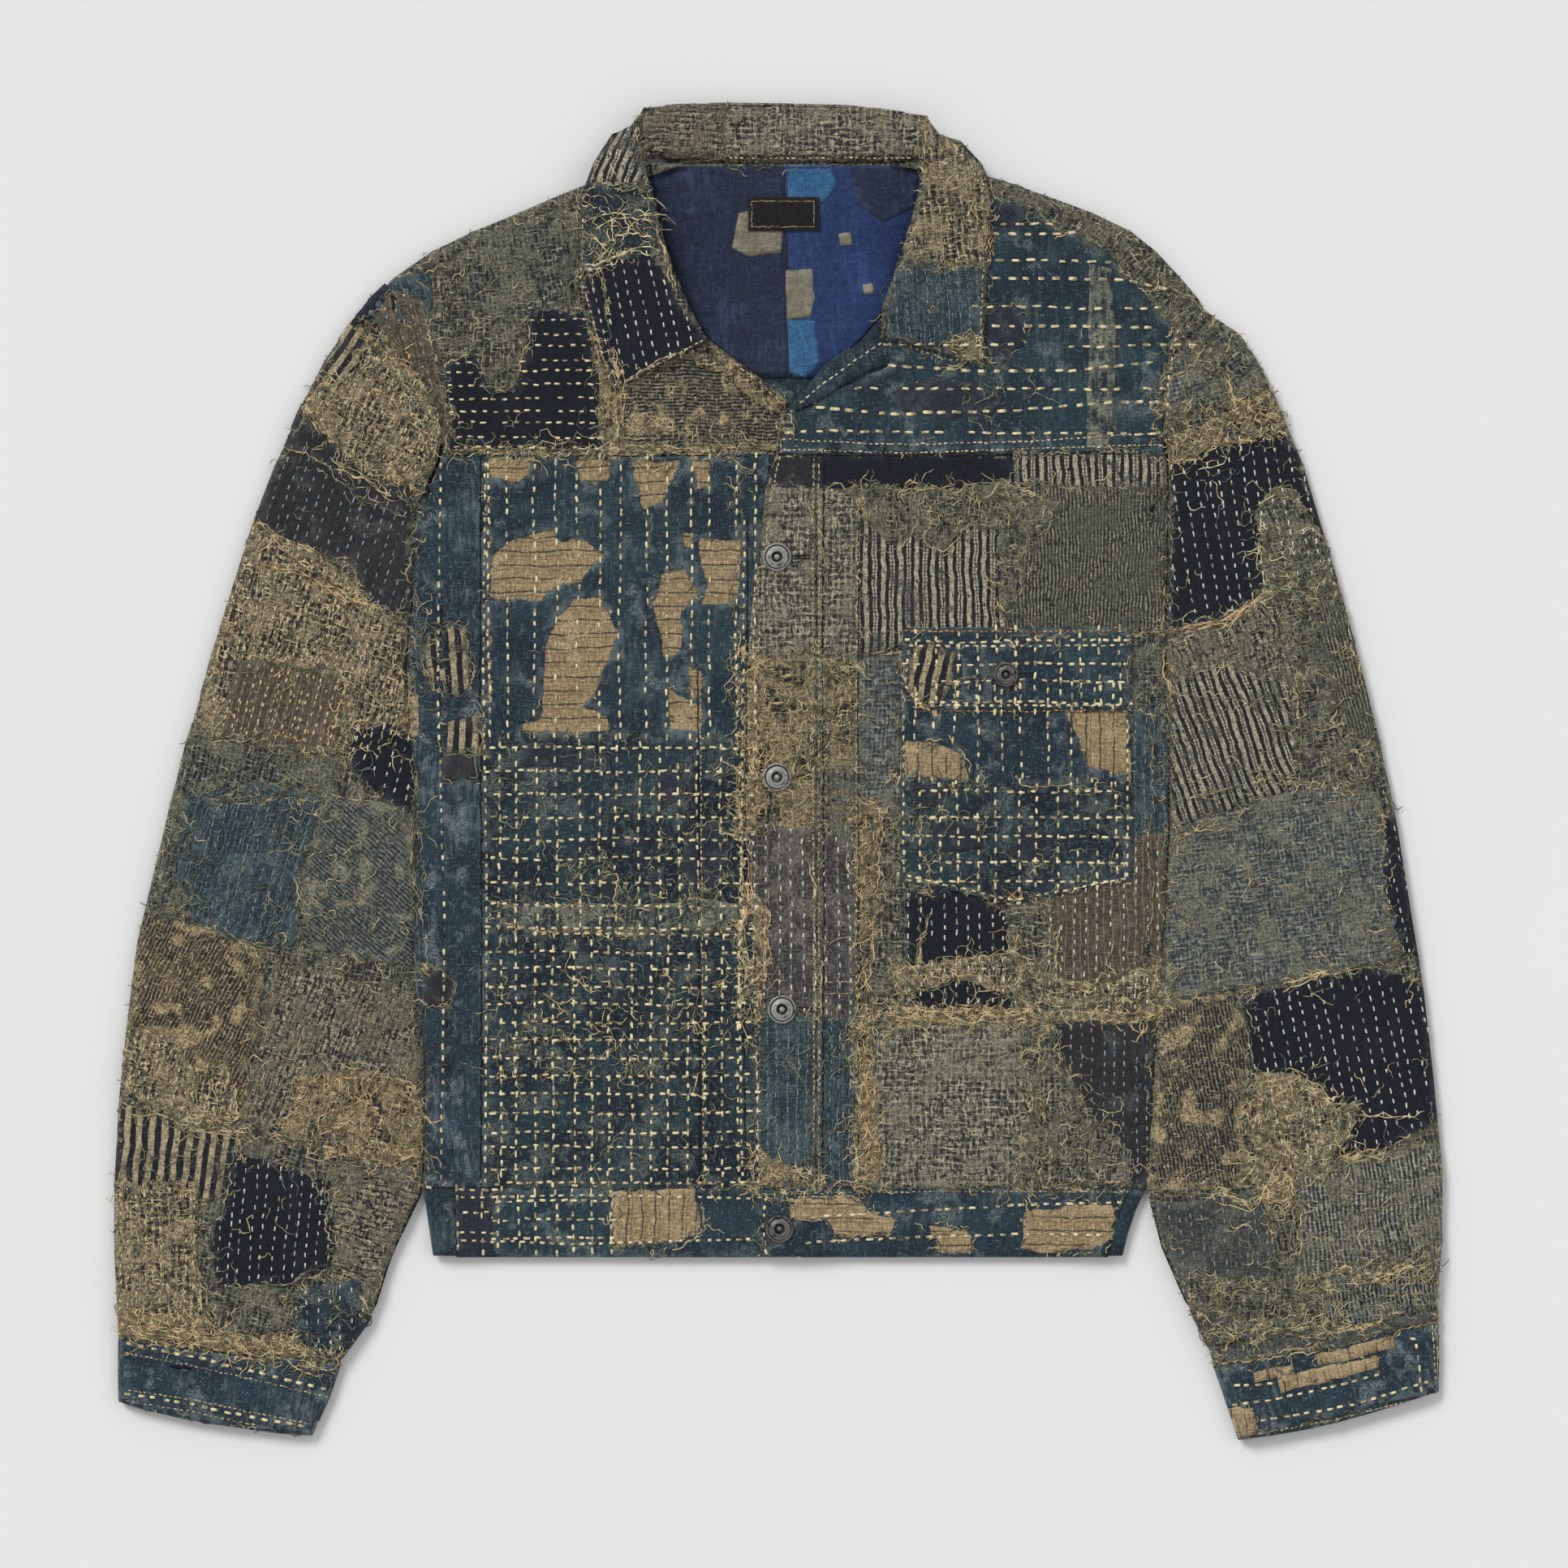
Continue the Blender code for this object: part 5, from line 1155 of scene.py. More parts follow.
class ThreadBag:
    """Collects loose threads as lines in the plane, so that each kind becomes one mesh."""

    def __init__(self):
        self.found = {}

    def add(self, side, thread, lines, loft, radius):
        self.found.setdefault((side, thread, lines.shape[1]), []).append((lines, loft, radius))

    def wander(self, side, thread, starts, headings, lengths, yarn, rng):
        curl, loft, radius = yarn
        self.add(side, thread, wandering(starts, headings, lengths, curl, rng), loft, radius)

    def fray(self, side, loop, amount, colours, seed):
        """Threads that come out of a torn border, mostly outwards, some along it."""
        rng = np.random.default_rng(seed)
        edge = np.roll(loop, -1, 0) - loop
        count = int(np.hypot(*edge.T).sum() * amount * FRAY_DENSITY)
        outward = 1 if signed_area(loop) < 0 else -1
        heading = np.arctan2(edge[:, 0] * outward, -edge[:, 1] * outward)
        for thread, share in colours.items():
            number = int(count * share)
            index = rng.integers(0, len(loop), number)
            turn = np.where(rng.random(number) < 0.45, rng.choice([-1.4, 1.4], number), 0)
            headings = heading[index] + turn + rng.normal(0, 0.6, number)
            starts = loop[index] + rng.normal(0, 0.9, (number, 2))
            lengths = 1.8 + rng.gamma(2.0, 1.5, number)
            self.wander(side, thread, starts, headings, lengths, FRAY_YARN, rng)

    def web(self, loop, amount, colours, seed):
        """A band of short crimped yarn on both sides of a badly torn border, left from the lost weave."""
        rng = np.random.default_rng(seed)
        edge = np.roll(loop, -1, 0) - loop
        run = np.arctan2(edge[:, 1], edge[:, 0])
        reach = WEB_REACH * amount
        count = int(np.hypot(*edge.T).sum() * amount * WEB_DENSITY)
        for thread, share in colours.items():
            number = int(count * share)
            index = rng.integers(0, len(loop), number)
            patchy = 0.35 + 0.9 * np.abs(TEAR_Y.at(*loop[index].T, 16))
            aside = np.stack([-np.sin(run[index]), np.cos(run[index])], 1)
            starts = loop[index] + aside * (rng.uniform(-1, 1, number) * reach * patchy)[:, None]
            square = rng.choice([0, math.pi / 2, math.pi, -math.pi / 2], number, p=(0.36, 0.14, 0.36, 0.14))
            headings = run[index] + square + rng.normal(0, 0.25, number)
            lengths = rng.uniform(6, 15, number) * np.where(np.abs(np.cos(square)) > 0.5, 1, 0.5)
            self.wander("front", thread, starts, headings, lengths, WEB_YARN, rng)

    def strands(self, corners, number, colours, seed, spread=0.9, radius=0.34, longest=LONGEST_STRAND):
        """Long threads that were pulled loose along a border and still follow it."""
        rng = np.random.default_rng(seed)
        total = distances_along(corners)
        for thread, share in colours.items():
            count = int(number * share + rng.random())
            runs = np.minimum(rng.uniform(0.3, 1, count) * longest, total[-1])
            starts = rng.uniform(0, 1, count) * (total[-1] - runs)
            where = starts[:, None] + runs[:, None] * np.linspace(0, 1, STRAND_POINTS)
            lines = at_distances(corners, total, np.clip(where, 0, total[-1]))
            way = unit(np.gradient(lines, axis=1), 2)
            aside = np.stack([-way[:, :, 1], way[:, :, 0]], 2)
            sway = np.cumsum(rng.normal(0, 1, (count, STRAND_POINTS)), 1) * STRAND_DRIFT * spread
            sway = sway - sway.mean(1, keepdims=True) + rng.normal(0, spread, (count, 1))
            sway = sway + rng.normal(0, STRAND_JITTER, (count, STRAND_POINTS))
            self.add("front", thread, lines + aside * sway[:, :, None], STRAND_LOFT, radius)

    def tangle(self, outline, density, colours, heading, seed):
        """Long wandering yarn over an area where the weave has fallen apart."""
        rng = np.random.default_rng(seed)
        loop = places(outline)
        low, high = loop.min(0), loop.max(0)
        for thread, share in colours.items():
            number = int((high - low).prod() / 100 * density * share)
            starts = rng.uniform(low, high, (number, 2))
            starts = starts[inside(starts, loop)]
            turn = math.radians(heading) + np.where(rng.random(len(starts)) < 0.5, 0, math.pi)
            headings = turn + rng.normal(0, TANGLE_TURN, len(starts))
            lengths = rng.uniform(SHORTEST_TANGLE, LONGEST_TANGLE, len(starts))
            self.wander("front", thread, starts, headings, lengths, TANGLE_YARN, rng)

    def spin(self, tops):
        for (side, thread, points), parts in sorted(self.found.items()):
            lines = np.concatenate([part[0] for part in parts])
            name = f"threads_{side}_{thread}_{points}"
            loft, radius = as_drawn(parts, 1), as_drawn(parts, 2)
            spin_kind(name, tops[side], side == "under", thread, lines, loft, radius)


def laid(surface, lines):
    spots, hits, _ = surface.lay(*lines.reshape(-1, 2).T, snap=False)
    return spots.reshape(*lines.shape[:2], 3), hits.reshape(lines.shape[:2])


def on_sound_cloth(surface, lines):
    """Which threads lie wholly on sound cloth, where little yarn has come loose."""
    sound = np.ones(len(lines), bool)
    for point in (0, lines.shape[1] // 2, -1):
        owners = surface.lay(*lines[:, point].T)[2]
        sound &= np.array([owner.endswith(SOUND_CLOTHS) for owner in owners])
    return sound


def spin_kind(name, surface, below, thread, lines, loft, radius):
    """Lays threads of one colour on the cloth. What would leave the coat is drawn in to a short end."""
    rng = np.random.default_rng(len(lines) + 5)
    _, hits = laid(surface, lines)
    drawn_in = lines[:, :1] + DRAWN_IN * (lines - lines[:, :1])
    lines = np.where((hits.mean(1) < SHARE_ON_CLOTH)[:, None, None], drawn_in, lines)
    kept = hits.all(1) if below else hits[:, 0]
    if lines.shape[1] == THREAD_POINTS and not below:
        kept &= ~on_sound_cloth(surface, lines) | (rng.random(len(lines)) > COMBED_SHARE)
    lines, loft, radius = lines[kept], loft[kept], radius[kept]
    spots, _ = laid(surface, lines)
    count, points = lines.shape[:2]
    radius = radius * rng.uniform(0.75, 1.25, count)
    rise = np.sin(np.linspace(0.12, 0.95, points) * math.pi)
    height = (radius * 0.7)[:, None] + (loft * rng.uniform(0.2, 1.3, count))[:, None] * rise
    spots[:, :, 2] += (-1 if below else 1) * height * MM
    limit = STEEPEST_THREAD * np.linalg.norm(lines[:, 1] - lines[:, 0], axis=1) * MM
    for index in range(1, points):
        drop = spots[:, index, 2] - spots[:, index - 1, 2]
        spots[:, index, 2] = spots[:, index - 1, 2] + np.clip(drop, -limit, limit)
    spots[:, :, 2] = np.maximum(spots[:, :, 2], THREAD_FLOOR_GAP * MM)
    yarns(name, spots, radius * MM, thread, below)


def signed_area(loop):
    x, y = loop.T
    return 0.5 * np.sum(x * np.roll(y, -1) - y * np.roll(x, -1))


# ---------------------------------------------------------------- materials

ROUGH_FLECKS = 0.6
# yarns per millimetre, how far they are bent, and how sharp they are, in rough cloths and in smooth ones
ROUGH_YARN = (0.85, 0.7, 0.09)
SMOOTH_YARN = (1.15, 0.15, 0.12)
CLOTH_ROUGHNESS = 0.92
# strength of the relief and its depth in metres
ROUGH_RELIEF = (0.9, 1.4 * MM)
SMOOTH_RELIEF = (0.7, 1.0 * MM)
# shift, scale, and half widths of the clear and the blurred line of each set of loose curls
CURLS = ((0.0, 0.17, 0.006, 0.026), (31.0, 0.30, 0.010, 0.040), (57.0, 0.52, 0.02, 0.06))


def linear(colour, share=1.0):
    """A share of an sRGB colour of three numbers up to 255, as the linear colour a node takes."""
    values = [share * value / 255 for value in colour]
    return [v / 12.92 if v <= 0.04045 else ((v + 0.055) / 1.055) ** 2.4 for v in values] + [1.0]


class Value:
    """A number in a material's nodes, with which sums are written as usual."""

    def __init__(self, net, socket):
        self.net = net
        self.socket = socket

    def __add__(self, other):
        return self.net.math("ADD", self, other)

    def __sub__(self, other):
        return self.net.math("SUBTRACT", self, other)

    def __rsub__(self, other):
        return self.net.math("SUBTRACT", other, self)

    def __mul__(self, other):
        return self.net.math("MULTIPLY", self, other)

    def __truediv__(self, other):
        return self.net.math("DIVIDE", self, other)


class Net:
    """Builds a material's nodes from short calls."""

    def __init__(self, name):
        self.material = bpy.data.materials.new(name)
        self.material.use_nodes = True
        self.tree = self.material.node_tree
        self.shader = self.tree.nodes["Principled BSDF"]
        self.spot = Value(self, self.tree.nodes.new("ShaderNodeTexCoord").outputs["Object"])

    def node(self, kind, inputs, output, **settings):
        """A node with these settings and inputs, by name or number. Gives one of its outputs."""
        made = self.tree.nodes.new(kind)
        for name, value in settings.items():
            setattr(made, name, value)
        for name, value in inputs.items():
            self.put(made.inputs[name], value)
        return Value(self, made.outputs[output])

    def put(self, socket, value):
        if isinstance(value, Value):
            self.tree.links.new(value.socket, socket)
        else:
            socket.default_value = value

    def math(self, operation, first, second=0.0, clamp=False):
        return self.node("ShaderNodeMath", {0: first, 1: second}, 0, operation=operation, use_clamp=clamp)

    def span(self, value, low, high):
        """A soft rise from 0 at the low value to 1 at the high one."""
        inputs = {"Value": value, "From Min": low, "From Max": high}
        return self.node("ShaderNodeMapRange", inputs, 0, interpolation_type="SMOOTHSTEP")

    def mix(self, share, first, second):
        return self.node("ShaderNodeMix", {"Factor": share, 6: first, 7: second}, 2, data_type="RGBA")

    def noise(self, place, scale, detail=2.0, roughness=0.5, distortion=0.0):
        inputs = {"Vector": place, "Scale": scale, "Detail": detail, "Roughness": roughness,
                  "Distortion": distortion}
        return self.node("ShaderNodeTexNoise", inputs, "Fac")

    def drawn_noise(self, across, along, level, detail=2.0, distortion=0.0):
        """Noise with scales of its own across and along the warp, from its own level."""
        place = self.node("ShaderNodeCombineXYZ", {0: self.u * across, 1: self.v * along, 2: level}, 0)
        return self.noise(place, 1.0, detail, 0.5, distortion)

    def lay_axes(self, tilt):
        """Takes measure across (u) and along (v) the warp, in millimetres, a little pulled out of true."""
        inputs = {"Vector": self.spot, "Rotation": (0, 0, math.radians(tilt)), "Scale": (MM, MM, MM)}
        self.spot = self.node("ShaderNodeMapping", inputs, 0, vector_type="TEXTURE")
        sway = self.noise(self.spot, 0.045) * 5.0 + self.noise(self.spot, 0.22, 1.0) * 1.1
        self.u = self.node("ShaderNodeSeparateXYZ", {0: self.spot}, 0) + sway
        self.v = self.node("ShaderNodeSeparateXYZ", {0: self.spot}, 1) - sway

    def band(self, place, period, share, soft=0.09):
        """1 on stripes of this share of the period, 0 between them."""
        off = self.math("ABSOLUTE", self.math("FRACT", place / period) - 0.5)
        return 1.0 - self.span(off, share / 2 - soft, share / 2 + soft)

    def capped_sum(self, first, second):
        return self.math("ADD", first, second, clamp=True)

    def finish(self, colour, height, roughness, strength, distance):
        shader = self.shader
        self.put(shader.inputs["Base Color"], colour)
        shader.inputs["Roughness"].default_value = roughness
        shader.inputs["Specular IOR Level"].default_value = 0.2
        if height is not None:
            inputs = {"Strength": strength, "Distance": distance, "Height": height}
            self.put(shader.inputs["Normal"], self.node("ShaderNodeBump", inputs, 0))
        return self.material


def stripe_mask(net, period, share):
    """A solid stripe, then a pair of thin dashed ones, by turns."""
    middle = net.u + period * 0.5
    left = net.band(middle + period * 0.085, period, share * 0.42, 0.02)
    right = net.band(middle - period * 0.085, period, share * 0.42, 0.02)
    dash = 1.0 - net.band(net.v, 2.1, 0.36, 0.1) * 0.55
    return net.capped_sum(net.band(net.u, period, share, 0.03) * 0.86, net.capped_sum(left, right) * dash)


def plaid_mask(net, period, share):
    """A bar and a thin line by turns across the warp, and faint pins along it."""
    bar = net.band(net.v, period, share, 0.03)
    thin = net.band(net.v + period * 0.3, period, share * 0.5, 0.03) * 0.6
    return net.capped_sum(net.math("MAXIMUM", bar, thin), net.band(net.u, 2.6, 0.4, 0.2) * 0.16)


def pattern_mask(net, cloth):
    """Where the second yarn shows, for each kind of weave that has one."""
    u, v, pattern, period, share = net.u, net.v, cloth.pattern, cloth.period, cloth.share
    if pattern == "plaid":
        return plaid_mask(net, period, share)
    if pattern == "rib":
        return net.band(u, period, share, 0.12) * net.span(net.drawn_noise(0.7, 0.3, 5.0, 1.0), 0.34, 0.46)
    whole = net.span(net.drawn_noise(0.5, 0.3, 3.0), 0.26 + 0.2 * cloth.flecks, 0.34 + 0.2 * cloth.flecks)
    if pattern == "stripe":
        return stripe_mask(net, period, share) * whole
    if pattern == "bars":
        return net.band(u, period, share, 0.04) * net.capped_sum(whole, 0.25)
    if pattern == "lines":
        return net.band(u, period, share, 0.05) * (whole * 0.6)
    if pattern == "check":
        lengthwise, crosswise = net.band(u, period, share), net.band(v, period * 1.08, share)
        return net.capped_sum(lengthwise * 0.66, crosswise * 0.66) * whole
    if pattern == "twill":
        return net.band(u + v, period, share, 0.2) * whole
    return None


def netted(net, cloth, colour, height):
    """Rows of small holes between bunched yarns, as in a loose weave that has lost some of its threads. The
    holes are painted near black as shade.
    """
    open_area = net.span(net.drawn_noise(0.2, 0.2, 8.0), 0.34, 0.54)
    hole = net.band(net.u, cloth.period, cloth.share) * net.band(net.v, 0.8 * cloth.period, 0.58)
    hole = hole * open_area
    bunch = net.band(net.u + 0.5 * cloth.period, cloth.period, 0.42, 0.15) * (open_area * 0.4 + 0.25)
    colour = net.mix(bunch, colour, linear(cloth.second))
    # each hole takes 0.6 of the shade colour: painted shade in the hole
    return net.mix(hole * 0.95, colour, linear(cloth.shade, 0.6)), height - hole * 1.8


def aged(net, cloth, colour, blue):
    """The ground after years of sun, washing and dirt."""
    if blue:
        tint = net.span(net.noise(net.spot, 0.032), 0.42, 0.6) * 0.6
        colour = net.mix(tint, colour, linear(INDIGO_TEAL))
    both = net.noise(net.spot, 0.05, 4.0, 0.55) * 0.55 + net.drawn_noise(0.42, 0.05, 9.0, 3.0) * 0.45
    colour = net.mix(net.span(both, 0.50, 0.68) * cloth.wear, colour, linear(cloth.light))
    return net.mix(net.span(both, 0.49, 0.34) * 0.6, colour, linear(cloth.shade))


def flecked(net, cloth, colour, height, warp, weft):
    """Painted shade in the gaps between the yarns, and pale flecks where single yarns stand up."""
    # the gaps take 0.45 of the shade colour: painted shade between the yarns
    gap = net.span(net.math("MAXIMUM", warp, weft), 0.54, 0.46) * min(0.9, cloth.flecks)
    colour = net.mix(gap, colour, linear(cloth.shade, 0.45))
    edge = 0.67 - 0.10 * cloth.flecks
    fleck = net.math("MAXIMUM", net.span(warp, edge, edge + 0.06), net.span(weft, edge, edge + 0.06))
    fleck = fleck * min(1.0, 0.35 + 0.65 * cloth.flecks)
    return net.mix(fleck, colour, linear(cloth.light)), height + fleck * 0.7 - gap


def tangle_mask(net, amount):
    """Thin curly lines where loose yarn crosses the cloth, in some areas more than others."""
    total = None
    for shift, scale, thin, thick in CURLS:
        inputs = {0: net.spot, 1: (shift, shift, shift)}
        moved = net.node("ShaderNodeVectorMath", inputs, 0, operation="ADD")
        off = net.math("ABSOLUTE", net.noise(moved, scale, 1.5, 0.6, 0.9) - 0.5)
        line = 1.0 - net.span(off, thin, thick)
        total = line if total is None else net.math("MAXIMUM", total, line)
    return total * net.span(net.noise(net.spot, 0.07), 0.58 - 0.30 * amount, 0.68 - 0.30 * amount)


def frayed(net, cloth, colour, height):
    """Loose yarn that crosses the cloth, and fading towards its torn borders."""
    if cloth.tangle > 0:
        curls = tangle_mask(net, cloth.tangle)
        colour = net.mix(curls * 0.85, colour, linear(cloth.light))
        height = height + curls * 1.6
    faded = net.node("ShaderNodeAttribute", {}, "Fac", attribute_name="edge")
    faded = faded * net.span(net.noise(net.spot, 0.11, 3.0), 0.44, 0.58)
    return net.mix(faded * 0.55, colour, linear(cloth.light)), height


@functools.cache
def cloth_material(name, tilt):
    """The weave of one cloth at one tilt: yarns, pattern, flecks, loose yarn, fading and its relief."""
    cloth = Cloth(*CLOTHS[name])
    rough = cloth.flecks >= ROUGH_FLECKS
    pitch, bent, tight = ROUGH_YARN if rough else SMOOTH_YARN
    net = Net(f"{name}_{tilt:+d}")
    net.lay_axes(tilt)
    warp = net.drawn_noise(pitch, 0.2 * pitch, 1.0, 1.5, bent)
    weft = net.drawn_noise(0.2 * pitch, pitch, 2.0, 1.5, bent)
    height = weave = net.span((warp + weft) * 0.5, 0.5 - tight, 0.5 + tight)
    colour = net.mix(weave, linear(cloth.shade), linear(cloth.ground))
    colour = aged(net, cloth, colour, name.startswith("indigo"))
    mask = pattern_mask(net, cloth)
    if mask is not None:
        colour = net.mix(mask, colour, net.mix(weave, linear(cloth.second, 0.78), linear(cloth.second)))
        height = height + mask * (0.1 if cloth.pattern == "plaid" else 0.5)
    if cloth.pattern == "net":
        colour, height = netted(net, cloth, colour, height)
    if cloth.flecks > 0.2:
        colour, height = flecked(net, cloth, colour, height, warp, weft)
    colour, height = frayed(net, cloth, colour, height)
    if name.startswith("lining"):
        height = net.drawn_noise(0.05, 0.2, 4.0, 3.0) * 4.0
    else:
        height = height + net.noise(net.spot, 0.16, 3.0, 0.6) * 2.6
    net.shader.inputs["Sheen Weight"].default_value = 0.1
    net.shader.inputs["Sheen Roughness"].default_value = 0.6
    return net.finish(colour, height, CLOTH_ROUGHNESS, *(ROUGH_RELIEF if rough else SMOOTH_RELIEF))


@functools.cache
def thread_material(thread):
    net = Net("thread_" + thread)
    colour = THREAD_COLOURS[thread]
    tone = net.span(net.noise(net.spot, 240.0), 0.36, 0.6)
    shade = net.mix(tone, linear(colour, 0.6), linear(colour))
    return net.finish(shade, net.noise(net.spot, 2200.0, 1.0), 0.9, 0.3, 0.0002)


def metal_material(name, colour, dark):
    """Worn tack-button metal: dull plating, darker in spots. Made in dark colours, it is the painted shade
    in the buttons' groove and well.
    """
    net = Net(name)
    spots = net.noise(net.spot, 300.0, 3.0, 0.55)
    colour = net.mix(net.span(spots, 0.32, 0.5), linear(dark), linear(colour))
    net.shader.inputs["Metallic"].default_value = 0.5
    return net.finish(colour, spots + net.noise(net.spot, 1500.0), 0.45, 0.12, 0.0002)


# ---------------------------------------------------------------- buttons

# radius as a share of the button's own, height above its base as a share of its depth, from the rim inwards
BUTTON_PROFILE = (
    (0.93, 0.0), (1.0, 0.22), (0.99, 0.52), (0.94, 0.76), (0.87, 0.80), (0.82, 0.62), (0.76, 0.60),
    (0.64, 0.66), (0.56, 0.74), (0.50, 1.0), (0.43, 1.0), (0.37, 0.66), (0.34, 0.20), (0.26, 0.18),
    (0.20, 0.26), (0.12, 0.50),
)
BUTTON_TOP = 0.54
BUTTON_RISE = 0.3 * MM
SEGMENTS = 56
# bands between two profile rows that are painted dark as shade: the groove and the well
SHADED_BANDS = (4, 5, 11, 12, 13)


def make_button(node, metal, hollow_shade):
    """A ring-topped tack button with a rolled rim, turned about its own axis, in its solid's place."""
    low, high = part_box(node)
    centre = (low + high) / 2
    radius = (high.x - low.x) / 2
    depth = high.z - low.z + BUTTON_RISE
    turn = np.arange(SEGMENTS) * 2 * math.pi / SEGMENTS
    share, rise = np.array(BUTTON_PROFILE).T[:, :, None]
    heights = np.broadcast_to(low.z + depth * rise, (len(share), SEGMENTS))
    rings = [centre.x + radius * share * np.cos(turn), centre.y + radius * share * np.sin(turn), heights]
    points = [*np.stack(rings, 2).reshape(-1, 3).tolist(), (centre.x, centre.y, low.z + depth * BUTTON_TOP)]
    index = np.arange(SEGMENTS)
    after = (index + 1) % SEGMENTS
    band = np.stack([index, after, SEGMENTS + after, SEGMENTS + index], 1)
    faces = copied_faces(band, len(share) - 1, SEGMENTS).tolist()
    last = (len(share) - 1) * SEGMENTS
    faces += [(last + a, last + b, len(points) - 1) for a, b in zip(index.tolist(), after.tolist())]
    faces.append(index[::-1].tolist())
    mesh = bpy.data.meshes.new(node + "_metal")
    mesh.from_pydata(points, [], faces)
    mesh.polygons.foreach_set("use_smooth", np.ones(len(mesh.polygons), bool))
    mesh.materials.append(metal)
    mesh.materials.append(hollow_shade)
    for face in mesh.polygons:
        # the groove and the well take the second material, painted shade
        face.material_index = int(face.index // SEGMENTS in SHADED_BANDS)
    made = link(bpy.data.objects.new(node + "_metal", mesh))
    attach(made, "root")
    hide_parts(node)


def add_buttonhole(bag, x0, x1, y, seed):
    """Close buttonhole stitches round a slit: two short dark rows and a bar at its end."""
    for side in (-0.9, 0.9):
        bag.line((x0, y + side, x1, y + side), 1.3, 1.8, 0.8, "dark", seed)
    bag.line((x1 + 0.6, y - 1.6, x1 + 0.6, y + 1.6), 1.2, 1.6, 0.9, "blue", seed + 1)


def add_box(bag, x0, y0, x1, y1, pitch, length, width, thread, seed):
    """A row of stitches round a rectangle."""
    bag.line((*box(x0, y0, x1, y1), x0, y0), pitch, length, width, thread, seed)
